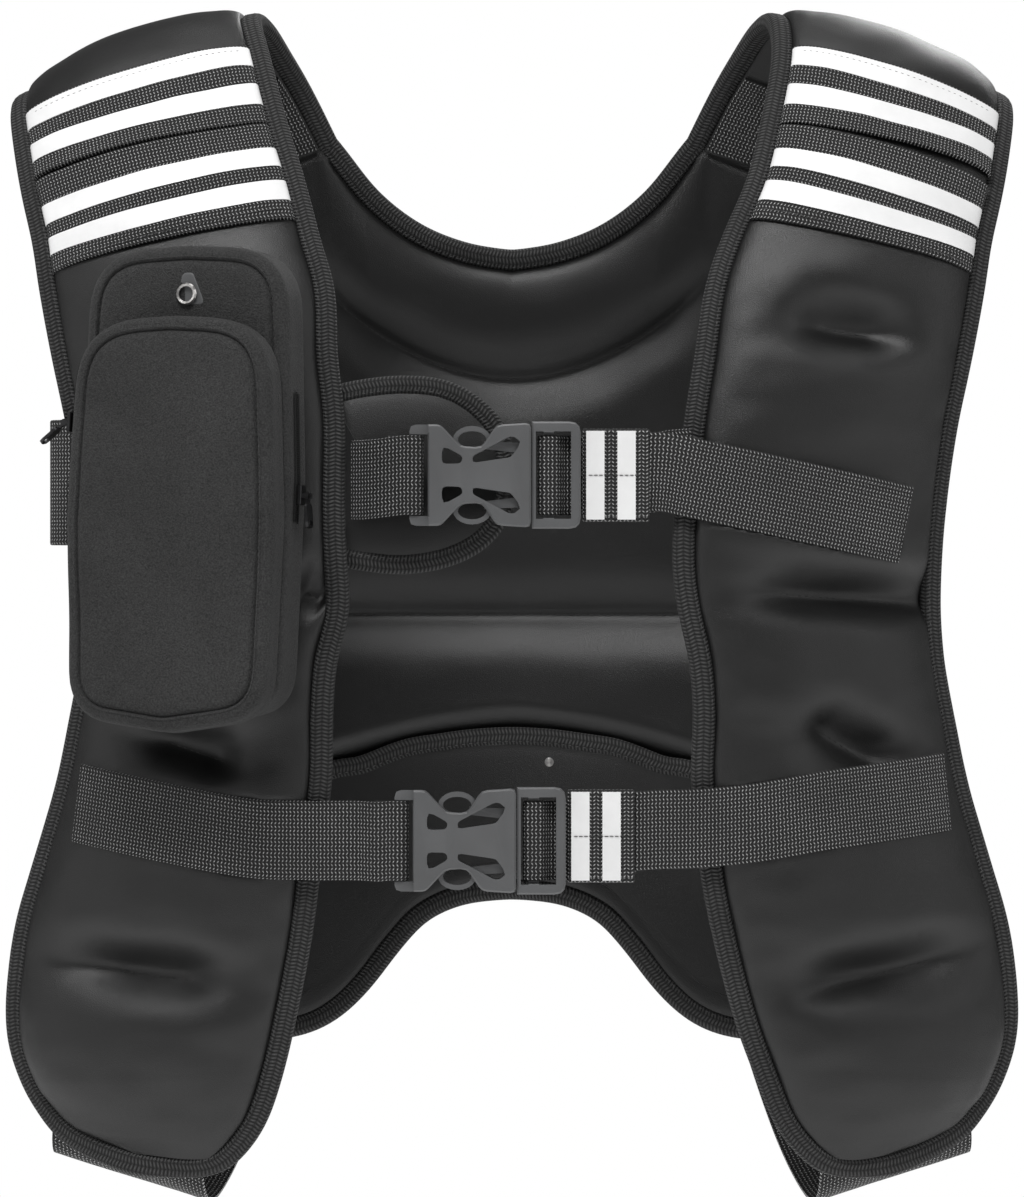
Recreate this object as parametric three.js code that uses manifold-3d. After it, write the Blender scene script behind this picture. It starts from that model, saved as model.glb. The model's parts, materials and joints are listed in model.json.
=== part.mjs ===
// A weighted vest as it stands when worn: two padded front panels that run over the
// shoulders, a padded back, bound edges, webbing, two buckles and a two-pocket pouch.
// Millimetres, +Z up, the front faces -Y. Left is -X, the side of the pouch.
// The origin is midway between the undersides of the two shoulders.
import * as THREE from 'three';
import { mergeVertices } from 'three/addons/utils/BufferGeometryUtils.js';
import Module from 'manifold-3d';

const wasm = await Module();
wasm.setup();

// driving sizes
const gap = 0.3; // clearance between touching pieces
const halfWidth = 233; // widest half width of the vest
const drop = 508; // from the shoulder level down to the lowest binding
const chest = 105; // depth of the front from the shoulder line
const rimHalf = 3.2; // half thickness of a padded panel at its bound edge
const puffOut = 12.5; // filling outside the middle surface of a front panel
const puffIn = 7.5; // filling inside it
const bindWidth = 9.4; // edge binding, across
const bindThick = 8.2; // edge binding, through
const webThick = 1.6; // webbing straps
const strapWidth = 35.6; // the two closing straps
const tapeThick = 0.5; // reflective tape
const backRound = 250; // half width of the oval that the back follows
const backPuffIn = 10.5;
const backPuffOut = 8;

// small vector helpers
const add = (a, b, k = 1) => [a[0] + b[0] * k, a[1] + b[1] * k, a[2] + b[2] * k];
const sub = (a, b) => add(a, b, -1);
const scale = (a, k) => [a[0] * k, a[1] * k, a[2] * k];
const dot = (a, b) => a[0] * b[0] + a[1] * b[1] + a[2] * b[2];
const cross = (a, b) => [
  a[1] * b[2] - a[2] * b[1],
  a[2] * b[0] - a[0] * b[2],
  a[0] * b[1] - a[1] * b[0],
];
const unit = (a) => scale(a, 1 / Math.max(1e-9, Math.hypot(a[0], a[1], a[2])));
const mix = (a, b, k) => a + (b - a) * k;
const mixPoint = (a, b, k) => [mix(a[0], b[0], k), mix(a[1], b[1], k), mix(a[2], b[2], k)];
const clamp = (v, lo, hi) => Math.min(hi, Math.max(lo, v));

// smooth curve through rows of numbers at equal steps
function along(values, t) {
  const last = values.length - 1;
  const i = Math.floor(clamp(t, 0, last - 1e-9));
  const k = clamp(t, 0, last) - i;
  const p0 = values[Math.max(0, i - 1)];
  const p1 = values[i];
  const p2 = values[i + 1];
  const p3 = values[Math.min(last, i + 2)];
  const m1 = (p2 - p0) / 2;
  const m2 = (p3 - p1) / 2;
  const k2 = k * k;
  const k3 = k2 * k;
  return (2 * k3 - 3 * k2 + 1) * p1 + (k3 - 2 * k2 + k) * m1 + (3 * k2 - 2 * k3) * p2 + (k3 - k2) * m2;
}

// smooth curve through rows of a table that names its own station
function table(rows, station, key, at) {
  const last = rows.length - 1;
  let i = 0;
  while (i < last - 1 && at > rows[i + 1][station]) {
    i += 1;
  }
  const a = rows[i];
  const b = rows[i + 1];
  const span = b[station] - a[station];
  const k = clamp((at - a[station]) / span, 0, 1);
  const before = rows[Math.max(0, i - 1)];
  const after = rows[Math.min(last, i + 2)];
  const m1 = ((b[key] - before[key]) / (b[station] - before[station])) * span;
  const m2 = ((after[key] - a[key]) / (after[station] - a[station])) * span;
  const k2 = k * k;
  const k3 = k2 * k;
  return (
    (2 * k3 - 3 * k2 + 1) * a[key] + (k3 - 2 * k2 + k) * m1 + (3 * k2 - 2 * k3) * b[key] + (k3 - k2) * m2
  );
}

// solids
function solidFrom(points, faces) {
  const geometry = new THREE.BufferGeometry();
  const flat = [];
  for (const p of points) {
    flat.push(p[0], p[1], p[2]);
  }
  let volume = 0;
  for (const f of faces) {
    volume += dot(points[f[0]], cross(points[f[1]], points[f[2]]));
  }
  const index = [];
  for (const f of faces) {
    index.push(f[0], volume < 0 ? f[2] : f[1], volume < 0 ? f[1] : f[2]);
  }
  geometry.setAttribute('position', new THREE.Float32BufferAttribute(flat, 3));
  geometry.setIndex(index);
  return geometry;
}

// closed solid between two grids of points, joined round the rim
function gridSolid(front, back) {
  const rows = front.length;
  const cols = front[0].length;
  const points = [...front.flat(), ...back.flat()];
  const other = rows * cols;
  const faces = [];
  const at = (i, j) => i * cols + j;
  for (let i = 0; i < rows - 1; i += 1) {
    for (let j = 0; j < cols - 1; j += 1) {
      const a = at(i, j);
      const b = at(i, j + 1);
      const c = at(i + 1, j + 1);
      const d = at(i + 1, j);
      faces.push([a, b, c], [a, c, d]);
      faces.push([other + a, other + c, other + b], [other + a, other + d, other + c]);
    }
  }
  const rim = [];
  for (let j = 0; j < cols - 1; j += 1) {
    rim.push(at(0, j));
  }
  for (let i = 0; i < rows - 1; i += 1) {
    rim.push(at(i, cols - 1));
  }
  for (let j = cols - 1; j > 0; j -= 1) {
    rim.push(at(rows - 1, j));
  }
  for (let i = rows - 1; i > 0; i -= 1) {
    rim.push(at(i, 0));
  }
  for (let n = 0; n < rim.length; n += 1) {
    const a = rim[n];
    const b = rim[(n + 1) % rim.length];
    faces.push([a, other + b, b], [a, other + a, other + b]);
  }
  return solidFrom(points, faces);
}

// closed solid through rings of points, with flat ends
function ringSolid(rings) {
  const n = rings[0].length;
  const points = rings.flat();
  const faces = [];
  for (let i = 0; i < rings.length - 1; i += 1) {
    for (let j = 0; j < n; j += 1) {
      const a = i * n + j;
      const b = i * n + ((j + 1) % n);
      faces.push([a, b, b + n], [a, b + n, a + n]);
    }
  }
  const last = (rings.length - 1) * n;
  for (let j = 1; j < n - 1; j += 1) {
    faces.push([0, j + 1, j]);
    faces.push([last, last + j, last + j + 1]);
  }
  return solidFrom(points, faces);
}

function toManifold(geometry) {
  let plain = geometry.clone();
  plain.deleteAttribute('normal');
  plain.deleteAttribute('uv');
  plain = mergeVertices(plain, 1e-4);
  const mesh = new wasm.Mesh({
    numProp: 3,
    vertProperties: new Float32Array(plain.attributes.position.array),
    triVerts: new Uint32Array(plain.index.array),
  });
  return new wasm.Manifold(mesh);
}

function toGeometry(solid) {
  const mesh = solid.getMesh();
  const geometry = new THREE.BufferGeometry();
  geometry.setAttribute('position', new THREE.Float32BufferAttribute(mesh.vertProperties, 3));
  geometry.setIndex(Array.from(mesh.triVerts));
  return geometry;
}

function cut(geometry, tools) {
  let solid = toManifold(geometry);
  for (const tool of tools) {
    solid = solid.subtract(toManifold(tool));
  }
  // a seat may shave off a thin paring, so the largest body is the piece
  const bodies = solid.decompose().sort((p, q) => q.volume() - p.volume());
  return toGeometry(bodies[0]);
}

function join(parts) {
  let solid = toManifold(parts[0]);
  for (const part of parts.slice(1)) {
    solid = solid.add(toManifold(part));
  }
  return toGeometry(solid);
}

// extruded outline in a plane: axes a and b span it, n is the direction of the depth
function plate(outline, holes, origin, a, b, n, from, to, bevel = 0) {
  const shape = new THREE.Shape(outline.map((p) => new THREE.Vector2(p[0], p[1])));
  for (const hole of holes) {
    shape.holes.push(new THREE.Path(hole.map((p) => new THREE.Vector2(p[0], p[1]))));
  }
  const geometry = new THREE.ExtrudeGeometry(shape, {
    depth: to - from - 2 * bevel,
    bevelEnabled: bevel > 0,
    bevelThickness: bevel,
    bevelSize: bevel,
    bevelOffset: -bevel,
    bevelSegments: bevel > 2 ? 2 : 1,
    steps: 1,
  });
  geometry.translate(0, 0, from + bevel);
  const matrix = new THREE.Matrix4().set(
    a[0], b[0], n[0], origin[0],
    a[1], b[1], n[1], origin[1],
    a[2], b[2], n[2], origin[2],
    0, 0, 0, 1,
  );
  geometry.applyMatrix4(matrix);
  if (matrix.determinant() < 0) {
    const index = geometry.index ? geometry.index.array : null;
    if (!index) {
      const position = geometry.attributes.position;
      for (let i = 0; i < position.count; i += 3) {
        const keep = [position.getX(i + 1), position.getY(i + 1), position.getZ(i + 1)];
        position.setXYZ(i + 1, position.getX(i + 2), position.getY(i + 2), position.getZ(i + 2));
        position.setXYZ(i + 2, keep[0], keep[1], keep[2]);
      }
    }
  }
  geometry.deleteAttribute('normal');
  geometry.deleteAttribute('uv');
  return mergeVertices(geometry, 1e-4);
}

// outline with rounded corners: each corner is [x, y, radius]
function rounded(corners, steps = 3) {
  const out = [];
  const n = corners.length;
  for (let i = 0; i < n; i += 1) {
    const [x, y, r] = corners[i];
    const p = corners[(i + n - 1) % n];
    const q = corners[(i + 1) % n];
    if (!r) {
      out.push([x, y]);
      continue;
    }
    const d1 = unit([p[0] - x, p[1] - y, 0]);
    const d2 = unit([q[0] - x, q[1] - y, 0]);
    const half = Math.acos(clamp(dot(d1, d2), -1, 1)) / 2;
    const reach = r / Math.tan(half);
    const start = [x + d1[0] * reach, y + d1[1] * reach];
    const end = [x + d2[0] * reach, y + d2[1] * reach];
    for (let k = 0; k <= steps; k += 1) {
      const t = k / steps;
      const s = 1 - t;
      out.push([
        s * s * start[0] + 2 * s * t * x + t * t * end[0],
        s * s * start[1] + 2 * s * t * y + t * t * end[1],
      ]);
    }
  }
  return out;
}

// ribbon of webbing between a top edge line and a bottom edge line
function ribbon(top, bottom, thick, grow = 0) {
  const front = [];
  const back = [];
  const n = top.length;
  for (let i = 0; i < n; i += 1) {
    const a = mixPoint(top[Math.max(0, i - 1)], bottom[Math.max(0, i - 1)], 0.5);
    const b = mixPoint(top[Math.min(n - 1, i + 1)], bottom[Math.min(n - 1, i + 1)], 0.5);
    const run = unit(sub(b, a));
    const across = unit(sub(top[i], bottom[i]));
    const normal = unit(cross(run, across));
    const end = i === 0 ? -1 : i === n - 1 ? 1 : 0;
    const hi = add(add(top[i], across, grow), run, end * grow);
    const lo = add(add(bottom[i], across, -grow), run, end * grow);
    const h = thick / 2 + grow;
    front.push([add(hi, normal, h), add(lo, normal, h)]);
    back.push([add(hi, normal, -h), add(lo, normal, -h)]);
  }
  return gridSolid(front, back);
}

// the same ribbon from a middle line with one width and one upward direction
function strap(line, up, width, thick, grow = 0) {
  const top = line.map((p) => add(p, up, width / 2));
  const bottom = line.map((p) => add(p, up, -width / 2));
  return ribbon(top, bottom, thick, grow);
}

function smoothLine(points, steps) {
  const curve = new THREE.CatmullRomCurve3(
    points.map((p) => new THREE.Vector3(p[0], p[1], p[2])),
    false,
    'centripetal',
  );
  return curve.getSpacedPoints(steps).map((p) => [p.x, p.y, p.z]);
}

// front panels: rows from the bottom tip up the front and over the shoulder
// in* is the edge towards the neck, out* the edge towards the arm, left is the neck
// edge of the left panel, puff the share of the filling
const panelRows = [
  { inX: 0.622, left: 0.584, inY: -0.762, inZ: -0.976, outX: 0.732, outY: -0.686, outZ: -0.977, puff: 0.12 },
  { inX: 0.584, left: 0.549, inY: -0.79, inZ: -0.961, outX: 0.852, outY: -0.562, outZ: -0.953, puff: 0.45 },
  { inX: 0.545, left: 0.513, inY: -0.819, inZ: -0.937, outX: 0.899, outY: -0.505, outZ: -0.931, puff: 0.75 },
  { inX: 0.509, left: 0.483, inY: -0.857, inZ: -0.896, outX: 0.933, outY: -0.476, outZ: -0.906, puff: 0.93 },
  { inX: 0.469, left: 0.457, inY: -0.895, inZ: -0.846, outX: 0.959, outY: -0.467, outZ: -0.86, puff: 1 },
  { inX: 0.429, left: 0.427, inY: -0.933, inZ: -0.776, outX: 0.944, outY: -0.486, outZ: -0.783, puff: 1 },
  { inX: 0.403, left: 0.41, inY: -0.962, inZ: -0.715, outX: 0.906, outY: -0.505, outZ: -0.72, puff: 0.97 },
  { inX: 0.386, left: 0.388, inY: -0.981, inZ: -0.638, outX: 0.86, outY: -0.524, outZ: -0.648, puff: 0.97 },
  { inX: 0.39, left: 0.386, inY: -0.99, inZ: -0.581, outX: 0.833, outY: -0.552, outZ: -0.589, puff: 0.97 },
  { inX: 0.382, left: 0.378, inY: -1.0, inZ: -0.531, outX: 0.811, outY: -0.571, outZ: -0.535, puff: 0.98 },
  { inX: 0.361, left: 0.354, inY: -1.0, inZ: -0.488, outX: 0.803, outY: -0.581, outZ: -0.486, puff: 0.98 },
  { inX: 0.35, left: 0.358, inY: -1.0, inZ: -0.449, outX: 0.805, outY: -0.59, outZ: -0.443, puff: 1 },
  { inX: 0.354, left: 0.363, inY: -0.99, inZ: -0.4, outX: 0.813, outY: -0.6, outZ: -0.394, puff: 1 },
  { inX: 0.373, left: 0.363, inY: -0.943, inZ: -0.321, outX: 0.833, outY: -0.619, outZ: -0.325, puff: 0.98 },
  { inX: 0.394, left: 0.378, inY: -0.886, inZ: -0.264, outX: 0.863, outY: -0.61, outZ: -0.258, puff: 0.95 },
  { inX: 0.414, left: 0.384, inY: -0.8, inZ: -0.205, outX: 0.888, outY: -0.571, outZ: -0.197, puff: 0.85 },
  { inX: 0.446, left: 0.412, inY: -0.714, inZ: -0.161, outX: 0.903, outY: -0.514, outZ: -0.154, puff: 0.72 },
  { inX: 0.498, left: 0.444, inY: -0.59, inZ: -0.106, outX: 0.927, outY: -0.419, outZ: -0.11, puff: 0.62 },
  { inX: 0.528, left: 0.481, inY: -0.448, inZ: -0.052, outX: 0.946, outY: -0.295, outZ: -0.068, puff: 0.57 },
  { inX: 0.554, left: 0.517, inY: -0.257, inZ: 0.01, outX: 0.959, outY: -0.152, outZ: -0.029, puff: 0.55 },
  { inX: 0.549, left: 0.541, inY: -0.029, inZ: 0.05, outX: 0.949, outY: 0.0, outZ: -0.015, puff: 0.55 },
  { inX: 0.517, left: 0.515, inY: 0.133, inZ: 0.044, outX: 0.929, outY: 0.124, outZ: -0.026, puff: 0.52 },
  { inX: 0.481, left: 0.481, inY: 0.276, inZ: 0.019, outX: 0.912, outY: 0.219, outZ: -0.056, puff: 0.48 },
  { inX: 0.442, left: 0.442, inY: 0.4, inZ: -0.011, outX: 0.897, outY: 0.305, outZ: -0.094, puff: 0.4 },
  { inX: 0.391, left: 0.391, inY: 0.514, inZ: -0.058, outX: 0.876, outY: 0.381, outZ: -0.142, puff: 0.3 },
];
const panelEnd = panelRows.length - 1;
const panelBow = 5; // the middle of a panel stands out from its two edges
const edgePower = 2.5; // how full the padding stays towards the edges
const panelSteps = 24; // facets along a front panel
const panelCols = 8; // facets across it
const backCols = 20; // facets across the back, and up it
const backSteps = 14;

// stitched tucks that pinch the filling: place as shares of half width and drop
const tucks = [
  { x: 0.644, z: -0.244, half: 0.14, tall: 0.022, deep: 0.62 },
  { x: 0.63, z: -0.362, half: 0.13, tall: 0.03, deep: 0.3 },
  { x: 0.61, z: -0.478, half: 0.19, tall: 0.018, deep: 0.5 },
  { x: 0.63, z: -0.607, half: 0.15, tall: 0.026, deep: 0.5 },
  { x: 0.7, z: -0.815, half: 0.17, tall: 0.026, deep: 0.62 },
];

const column = (key) => panelRows.map((row) => row[key]);
const inX = { right: column('inX'), left: column('left') };
const inY = column('inY');
const inZ = column('inZ');
const outX = column('outX');
const outY = column('outY');
const outZ = column('outZ');
const puffs = column('puff');

function panelMid(side, t, u) {
  const a = [along(inX[side], t) * halfWidth, along(inY, t) * chest, along(inZ, t) * drop];
  const b = [along(outX, t) * halfWidth, along(outY, t) * chest, along(outZ, t) * drop];
  const p = mixPoint(a, b, u);
  const before = Math.max(0, t - 0.5);
  const after = Math.min(panelEnd, t + 0.5);
  const rise = [
    0,
    (along(inY, after) - along(inY, before)) * chest,
    (along(inZ, after) - along(inZ, before)) * drop,
  ];
  const out = unit(cross(sub(b, a), rise));
  const bow = panelBow * 4 * u * (1 - u) * clamp(t / 3, 0, 1);
  const q = add(p, out, bow);
  return side === 'left' ? [-q[0], q[1], q[2]] : q;
}

function panelNormal(side, t, u) {
  const step = 0.02;
  const t0 = clamp(t - step, 0, panelEnd);
  const t1 = clamp(t + step, 0, panelEnd);
  const du = sub(panelMid(side, t, u + step), panelMid(side, t, u - step));
  const dt = sub(panelMid(side, t1, u), panelMid(side, t0, u));
  const n = unit(cross(du, dt));
  return side === 'left' ? scale(n, -1) : n;
}

function panelPuff(t, u, p) {
  const across = Math.abs(2 * clamp(u, 0, 1) - 1);
  const edge = Math.sqrt(Math.max(0, 1 - across ** edgePower));
  const end = Math.sqrt(clamp(1 - ((clamp(t, 0, panelEnd) - (panelEnd - 1)) / 1) ** 4, 0, 1));
  const closing = t > panelEnd - 1 ? end : 1;
  let share = along(puffs, t) * edge * closing;
  if (t < panelEnd - 6) {
    for (const tuck of tucks) {
      const dx = (Math.abs(p[0]) / halfWidth - tuck.x) / tuck.half;
      const dz = (p[2] / drop - tuck.z) / tuck.tall;
      share *= 1 - tuck.deep * Math.exp(-dx * dx - dz * dz);
    }
  }
  return share;
}

// a point on a front panel: lift is measured from the outer face (1) or inner face (-1)
function panelPoint(side, t, u, face, lift = 0) {
  const p = panelMid(side, t, u);
  const n = panelNormal(side, t, u);
  const full = face > 0 ? puffOut : puffIn;
  const h = rimHalf + full * panelPuff(t, u, p) + lift;
  return add(p, n, face * h);
}

// columns of facets crowd towards the bound edges
const columnAt = (j, cols) => mix(j / cols, 0.5 - 0.5 * Math.cos((Math.PI * j) / cols), 0.6);

function frontPanel(side, grow = 0) {
  const rows = panelSteps;
  const cols = panelCols;
  const front = [];
  const back = [];
  for (let i = 0; i <= rows; i += 1) {
    const t = (i / rows) * panelEnd;
    const f = [];
    const b = [];
    for (let j = 0; j <= cols; j += 1) {
      f.push(panelPoint(side, t, columnAt(j, cols), 1, grow));
      b.push(panelPoint(side, t, columnAt(j, cols), -1, grow));
    }
    front.push(f);
    back.push(b);
  }
  return gridSolid(front, back);
}

// back panel: bottom line, top line and arm line, as shares of half width and drop
const bottomRows = [
  { u: 0, x: 0, z: -0.741 },
  { u: 0.13, x: 0.109, z: -0.747 },
  { u: 0.26, x: 0.2, z: -0.766 },
  { u: 0.34, x: 0.26, z: -0.795 },
  { u: 0.42, x: 0.319, z: -0.83 },
  { u: 0.5, x: 0.373, z: -0.854 },
  { u: 0.58, x: 0.428, z: -0.867 },
  { u: 0.68, x: 0.506, z: -0.872 },
  { u: 0.8, x: 0.614, z: -0.867 },
  { u: 0.92, x: 0.724, z: -0.846 },
  { u: 1, x: 0.811, z: -0.789 },
];
const topRows = [
  { u: 0, x: 0, z: -0.169 },
  { u: 0.13, x: 0.103, z: -0.161 },
  { u: 0.26, x: 0.206, z: -0.142 },
  { u: 0.39, x: 0.303, z: -0.108 },
  { u: 0.5, x: 0.391, z: -0.058 },
  { u: 0.505, x: 0.396, z: -0.06 },
  { u: 0.63, x: 0.512, z: -0.082 },
  { u: 0.76, x: 0.634, z: -0.103 },
  { u: 0.88, x: 0.76, z: -0.124 },
  { u: 1, x: 0.876, z: -0.143 },
];
const armRows = [
  { v: 0, x: 0.811, z: -0.789 },
  { v: 0.09, x: 0.82, z: -0.738 },
  { v: 0.24, x: 0.79, z: -0.64 },
  { v: 0.38, x: 0.742, z: -0.551 },
  { v: 0.52, x: 0.704, z: -0.463 },
  { v: 0.64, x: 0.691, z: -0.384 },
  { v: 0.76, x: 0.712, z: -0.305 },
  { v: 0.87, x: 0.764, z: -0.232 },
  { v: 0.95, x: 0.828, z: -0.177 },
  { v: 1, x: 0.876, z: -0.143 },
];
// depth of the back behind the shoulder line, by height
const depthRows = [
  { down: 0, depth: 44 },
  { down: 0.058, depth: 58 },
  { down: 0.142, depth: 69 },
  { down: 0.256, depth: 83 },
  { down: 0.4, depth: 90 },
  { down: 0.6, depth: 89 },
  { down: 0.76, depth: 82 },
  { down: 0.9, depth: 73 },
];

function backY(x, z) {
  const depth = table(depthRows, 'down', 'depth', -z / drop);
  return depth * Math.sqrt(Math.max(0.05, 1 - (x / backRound) ** 2));
}

function backMid(u, v) {
  const w = Math.abs(u);
  const low = [table(bottomRows, 'u', 'x', w), table(bottomRows, 'u', 'z', w)];
  const high = [table(topRows, 'u', 'x', w), table(topRows, 'u', 'z', w)];
  const lowEnd = bottomRows[bottomRows.length - 1];
  const highEnd = topRows[topRows.length - 1];
  const arm = [table(armRows, 'v', 'x', v), table(armRows, 'v', 'z', v)];
  const x = mix(low[0], high[0], v) + w * w * (arm[0] - mix(lowEnd.x, highEnd.x, v));
  const z = mix(low[1], high[1], v) + w * w * (arm[1] - mix(lowEnd.z, highEnd.z, v));
  const px = Math.sign(u || 1) * x * halfWidth;
  return [px, backY(px, z * drop), z * drop];
}

// normal of the back, pointing backwards
function backNormal(u, v) {
  const p = backMid(u, v);
  const step = 2;
  const dx = (backY(p[0] + step, p[2]) - backY(p[0] - step, p[2])) / (2 * step);
  const dz = (backY(p[0], p[2] + step) - backY(p[0], p[2] - step)) / (2 * step);
  return unit([-dx, 1, -dz]);
}

const seamOne = { z: -0.271, rise: 0.075, half: 0.365 }; // curved seam below the neck
const seamTwo = { z: -0.492 }; // straight seam across the middle
const seamWidth = 15; // how far a seam pinches the filling
const flapTop = -0.615; // highest point of the lower flap

function backPuff(u, v, p) {
  const edge = Math.sqrt(Math.max(0, 1 - Math.abs(clamp(u, -1, 1)) ** 7));
  const ends = Math.sqrt(Math.max(0, 1 - Math.abs(2 * clamp(v, 0, 1) - 1) ** 8));
  const one = (seamOne.z + seamOne.rise * (p[0] / halfWidth / seamOne.half) ** 2) * drop;
  const two = seamTwo.z * drop;
  const pinch = (d) => 1 - 0.85 * Math.exp(-((d / seamWidth) ** 2));
  const horn = clamp((p[2] / drop + 0.26) / 0.12, 0, 1) * clamp((Math.abs(p[0]) / halfWidth - 0.3) / 0.1, 0, 1);
  return edge * ends * pinch(p[2] - one) * pinch(p[2] - two) * mix(1, 0.45, horn);
}

function backPoint(u, v, face, lift = 0) {
  const p = backMid(u, v);
  const n = backNormal(u, v);
  const low = clamp((flapTop - p[2] / drop) / 0.06, 0, 1);
  const full = face > 0 ? backPuffOut : mix(backPuffIn, 4, low);
  return add(p, n, face * (rimHalf + full * backPuff(u, v, p) + lift));
}

function backPanel() {
  const cols = backCols;
  const rows = backSteps;
  const outer = [];
  const inner = [];
  for (let i = 0; i <= rows; i += 1) {
    const f = [];
    const b = [];
    for (let j = 0; j <= cols; j += 1) {
      const u = (2 * j) / cols - 1;
      f.push(backPoint(u, i / rows, 1));
      b.push(backPoint(u, i / rows, -1));
    }
    outer.push(f);
    inner.push(b);
  }
  return gridSolid(outer, inner);
}

// edge binding: a rounded strip that runs just outside a bound edge
const bindSides = 6;
const bindGap = 0.4;

function bindRings(points, normals, outs, from, to, width = bindWidth, thick = bindThick, short = 0.15) {
  const rings = [];
  for (let i = from; i <= to; i += 1) {
    const a = points[Math.max(0, i - 1)];
    const b = points[Math.min(points.length - 1, i + 1)];
    const run = unit(sub(b, a));
    const n = unit(sub(normals[i], scale(run, dot(normals[i], run))));
    let o = unit(cross(run, n));
    if (dot(o, outs[i]) < 0) {
      o = scale(o, -1);
    }
    const shift = i === from ? short : i === to ? -short : 0;
    const centre = add(add(points[i], o, bindGap + width / 2), run, shift);
    const ring = [];
    for (let k = 0; k < bindSides; k += 1) {
      const turn = (2 * Math.PI * k) / bindSides;
      ring.push(add(add(centre, o, (-width / 2) * Math.cos(turn)), n, (thick / 2 / 0.866) * Math.sin(turn)));
    }
    rings.push(ring);
  }
  return ringSolid(rings);
}

function panelEdge(side) {
  const points = [];
  const normals = [];
  const outs = [];
  const push = (t, u, o) => {
    points.push(panelMid(side, t, u));
    normals.push(panelNormal(side, t, u));
    outs.push(o);
  };
  const rows = panelSteps;
  for (let i = rows; i >= 0; i -= 1) {
    const t = (i / rows) * panelEnd;
    push(t, 0, sub(panelMid(side, t, 0), panelMid(side, t, 0.2)));
  }
  push(0, 0.5, sub(panelMid(side, 0, 0.5), panelMid(side, 1, 0.5)));
  const middle = points.length - 1;
  for (let i = 0; i <= rows; i += 1) {
    const t = (i / rows) * panelEnd;
    push(t, 1, sub(panelMid(side, t, 1), panelMid(side, t, 0.8)));
  }
  return { points, normals, outs, middle };
}

// rays along Y onto a mesh, to lay webbing on a padded face
function faceAt(geometry, x, z, front) {
  const position = geometry.attributes.position.array;
  const index = geometry.index.array;
  let best = null;
  for (let i = 0; i < index.length; i += 3) {
    const a = index[i] * 3;
    const b = index[i + 1] * 3;
    const c = index[i + 2] * 3;
    const ax = position[a];
    const az = position[a + 2];
    const bx = position[b] - ax;
    const bz = position[b + 2] - az;
    const cx = position[c] - ax;
    const cz = position[c + 2] - az;
    const det = bx * cz - bz * cx;
    if (Math.abs(det) < 1e-9) {
      continue;
    }
    const s = ((x - ax) * cz - (z - az) * cx) / det;
    const r = (bx * (z - az) - bz * (x - ax)) / det;
    if (s < -1e-6 || r < -1e-6 || s + r > 1 + 1e-6) {
      continue;
    }
    const y = position[a + 1] + s * (position[b + 1] - position[a + 1]) + r * (position[c + 1] - position[a + 1]);
    if (best === null || (front ? y < best : y > best)) {
      best = y;
    }
  }
  return best;
}

// taut line over a set of points: the part of their hull that lies towards -Y
function taut(points) {
  const hull = [];
  for (const p of points) {
    while (hull.length > 1) {
      const a = hull[hull.length - 2];
      const b = hull[hull.length - 1];
      if ((b[0] - a[0]) * (p[1] - a[1]) - (b[1] - a[1]) * (p[0] - a[0]) > 0) {
        break;
      }
      hull.pop();
    }
    hull.push(p);
  }
  return (x) => {
    for (let i = 0; i < hull.length - 1; i += 1) {
      if (x <= hull[i + 1][0] || i === hull.length - 2) {
        const k = (x - hull[i][0]) / (hull[i + 1][0] - hull[i][0]);
        return mix(hull[i][1], hull[i + 1][1], k);
      }
    }
    return hull[0][1];
  };
}

// materials
const paint = (color, roughness, metalness = 0) =>
  new THREE.MeshStandardMaterial({ color, roughness, metalness, side: THREE.DoubleSide });
const looks = {
  neoprene: paint(0x2b2b2c, 0.75),
  binding: paint(0x3a3a3b, 0.85),
  webbing: paint(0x353534, 0.8),
  tape: paint(0xf0f0f0, 0.45),
  plastic: paint(0x5f6061, 0.5),
  pouch: paint(0x38383a, 0.9),
  chain: paint(0x151515, 0.6),
  metal: paint(0x6d6c6a, 0.35, 0.9),
};

const group = new THREE.Group();
function piece(name, geometry, look, parent = group) {
  const mesh = new THREE.Mesh(geometry, looks[look]);
  mesh.name = name;
  parent.add(mesh);
  return mesh;
}

const sides = ['left', 'right'];
const signOf = { left: -1, right: 1 };
const rawPanel = { left: frontPanel('left'), right: frontPanel('right') };
const cuts = { left: [], right: [], back: [] };

// shoulder webbing: two bands a side, each with two stripes of tape
// rows of the panel at which the band edges meet the neck side and the arm side
const bandLines = {
  top: { neck: 19.12, arm: 18.6 },
  slit: { neck: 17.95, arm: 17.1 },
  foot: { neck: 16.35, arm: 15.2 },
};
const bandThick = 1.5;
const bandLift = 0.45; // clear of the facets of the padding
const slitShare = 0.02;
const stripeRows = [
  { band: 'upper', from: 0.03, to: 0.28 },
  { band: 'upper', from: 0.51, to: 0.76 },
  { band: 'lower', from: 0.26, to: 0.46 },
  { band: 'lower', from: 0.61, to: 0.81 },
];

function sheetOnPanel(side, range, lift, thick, rows, cols = panelCols) {
  const low = [];
  const high = [];
  for (let i = 0; i <= rows; i += 1) {
    const a = [];
    const b = [];
    for (let j = 0; j <= cols; j += 1) {
      const u = columnAt(j, cols);
      const k = i / rows;
      const t0 = mix(range.from.neck, range.from.arm, u);
      const t1 = mix(range.to.neck, range.to.arm, u);
      const t = mix(t0, t1, k);
      a.push(panelPoint(side, t, u, 1, lift));
      b.push(panelPoint(side, t, u, 1, lift + thick));
    }
    low.push(a);
    high.push(b);
  }
  return gridSolid(low, high);
}

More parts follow.
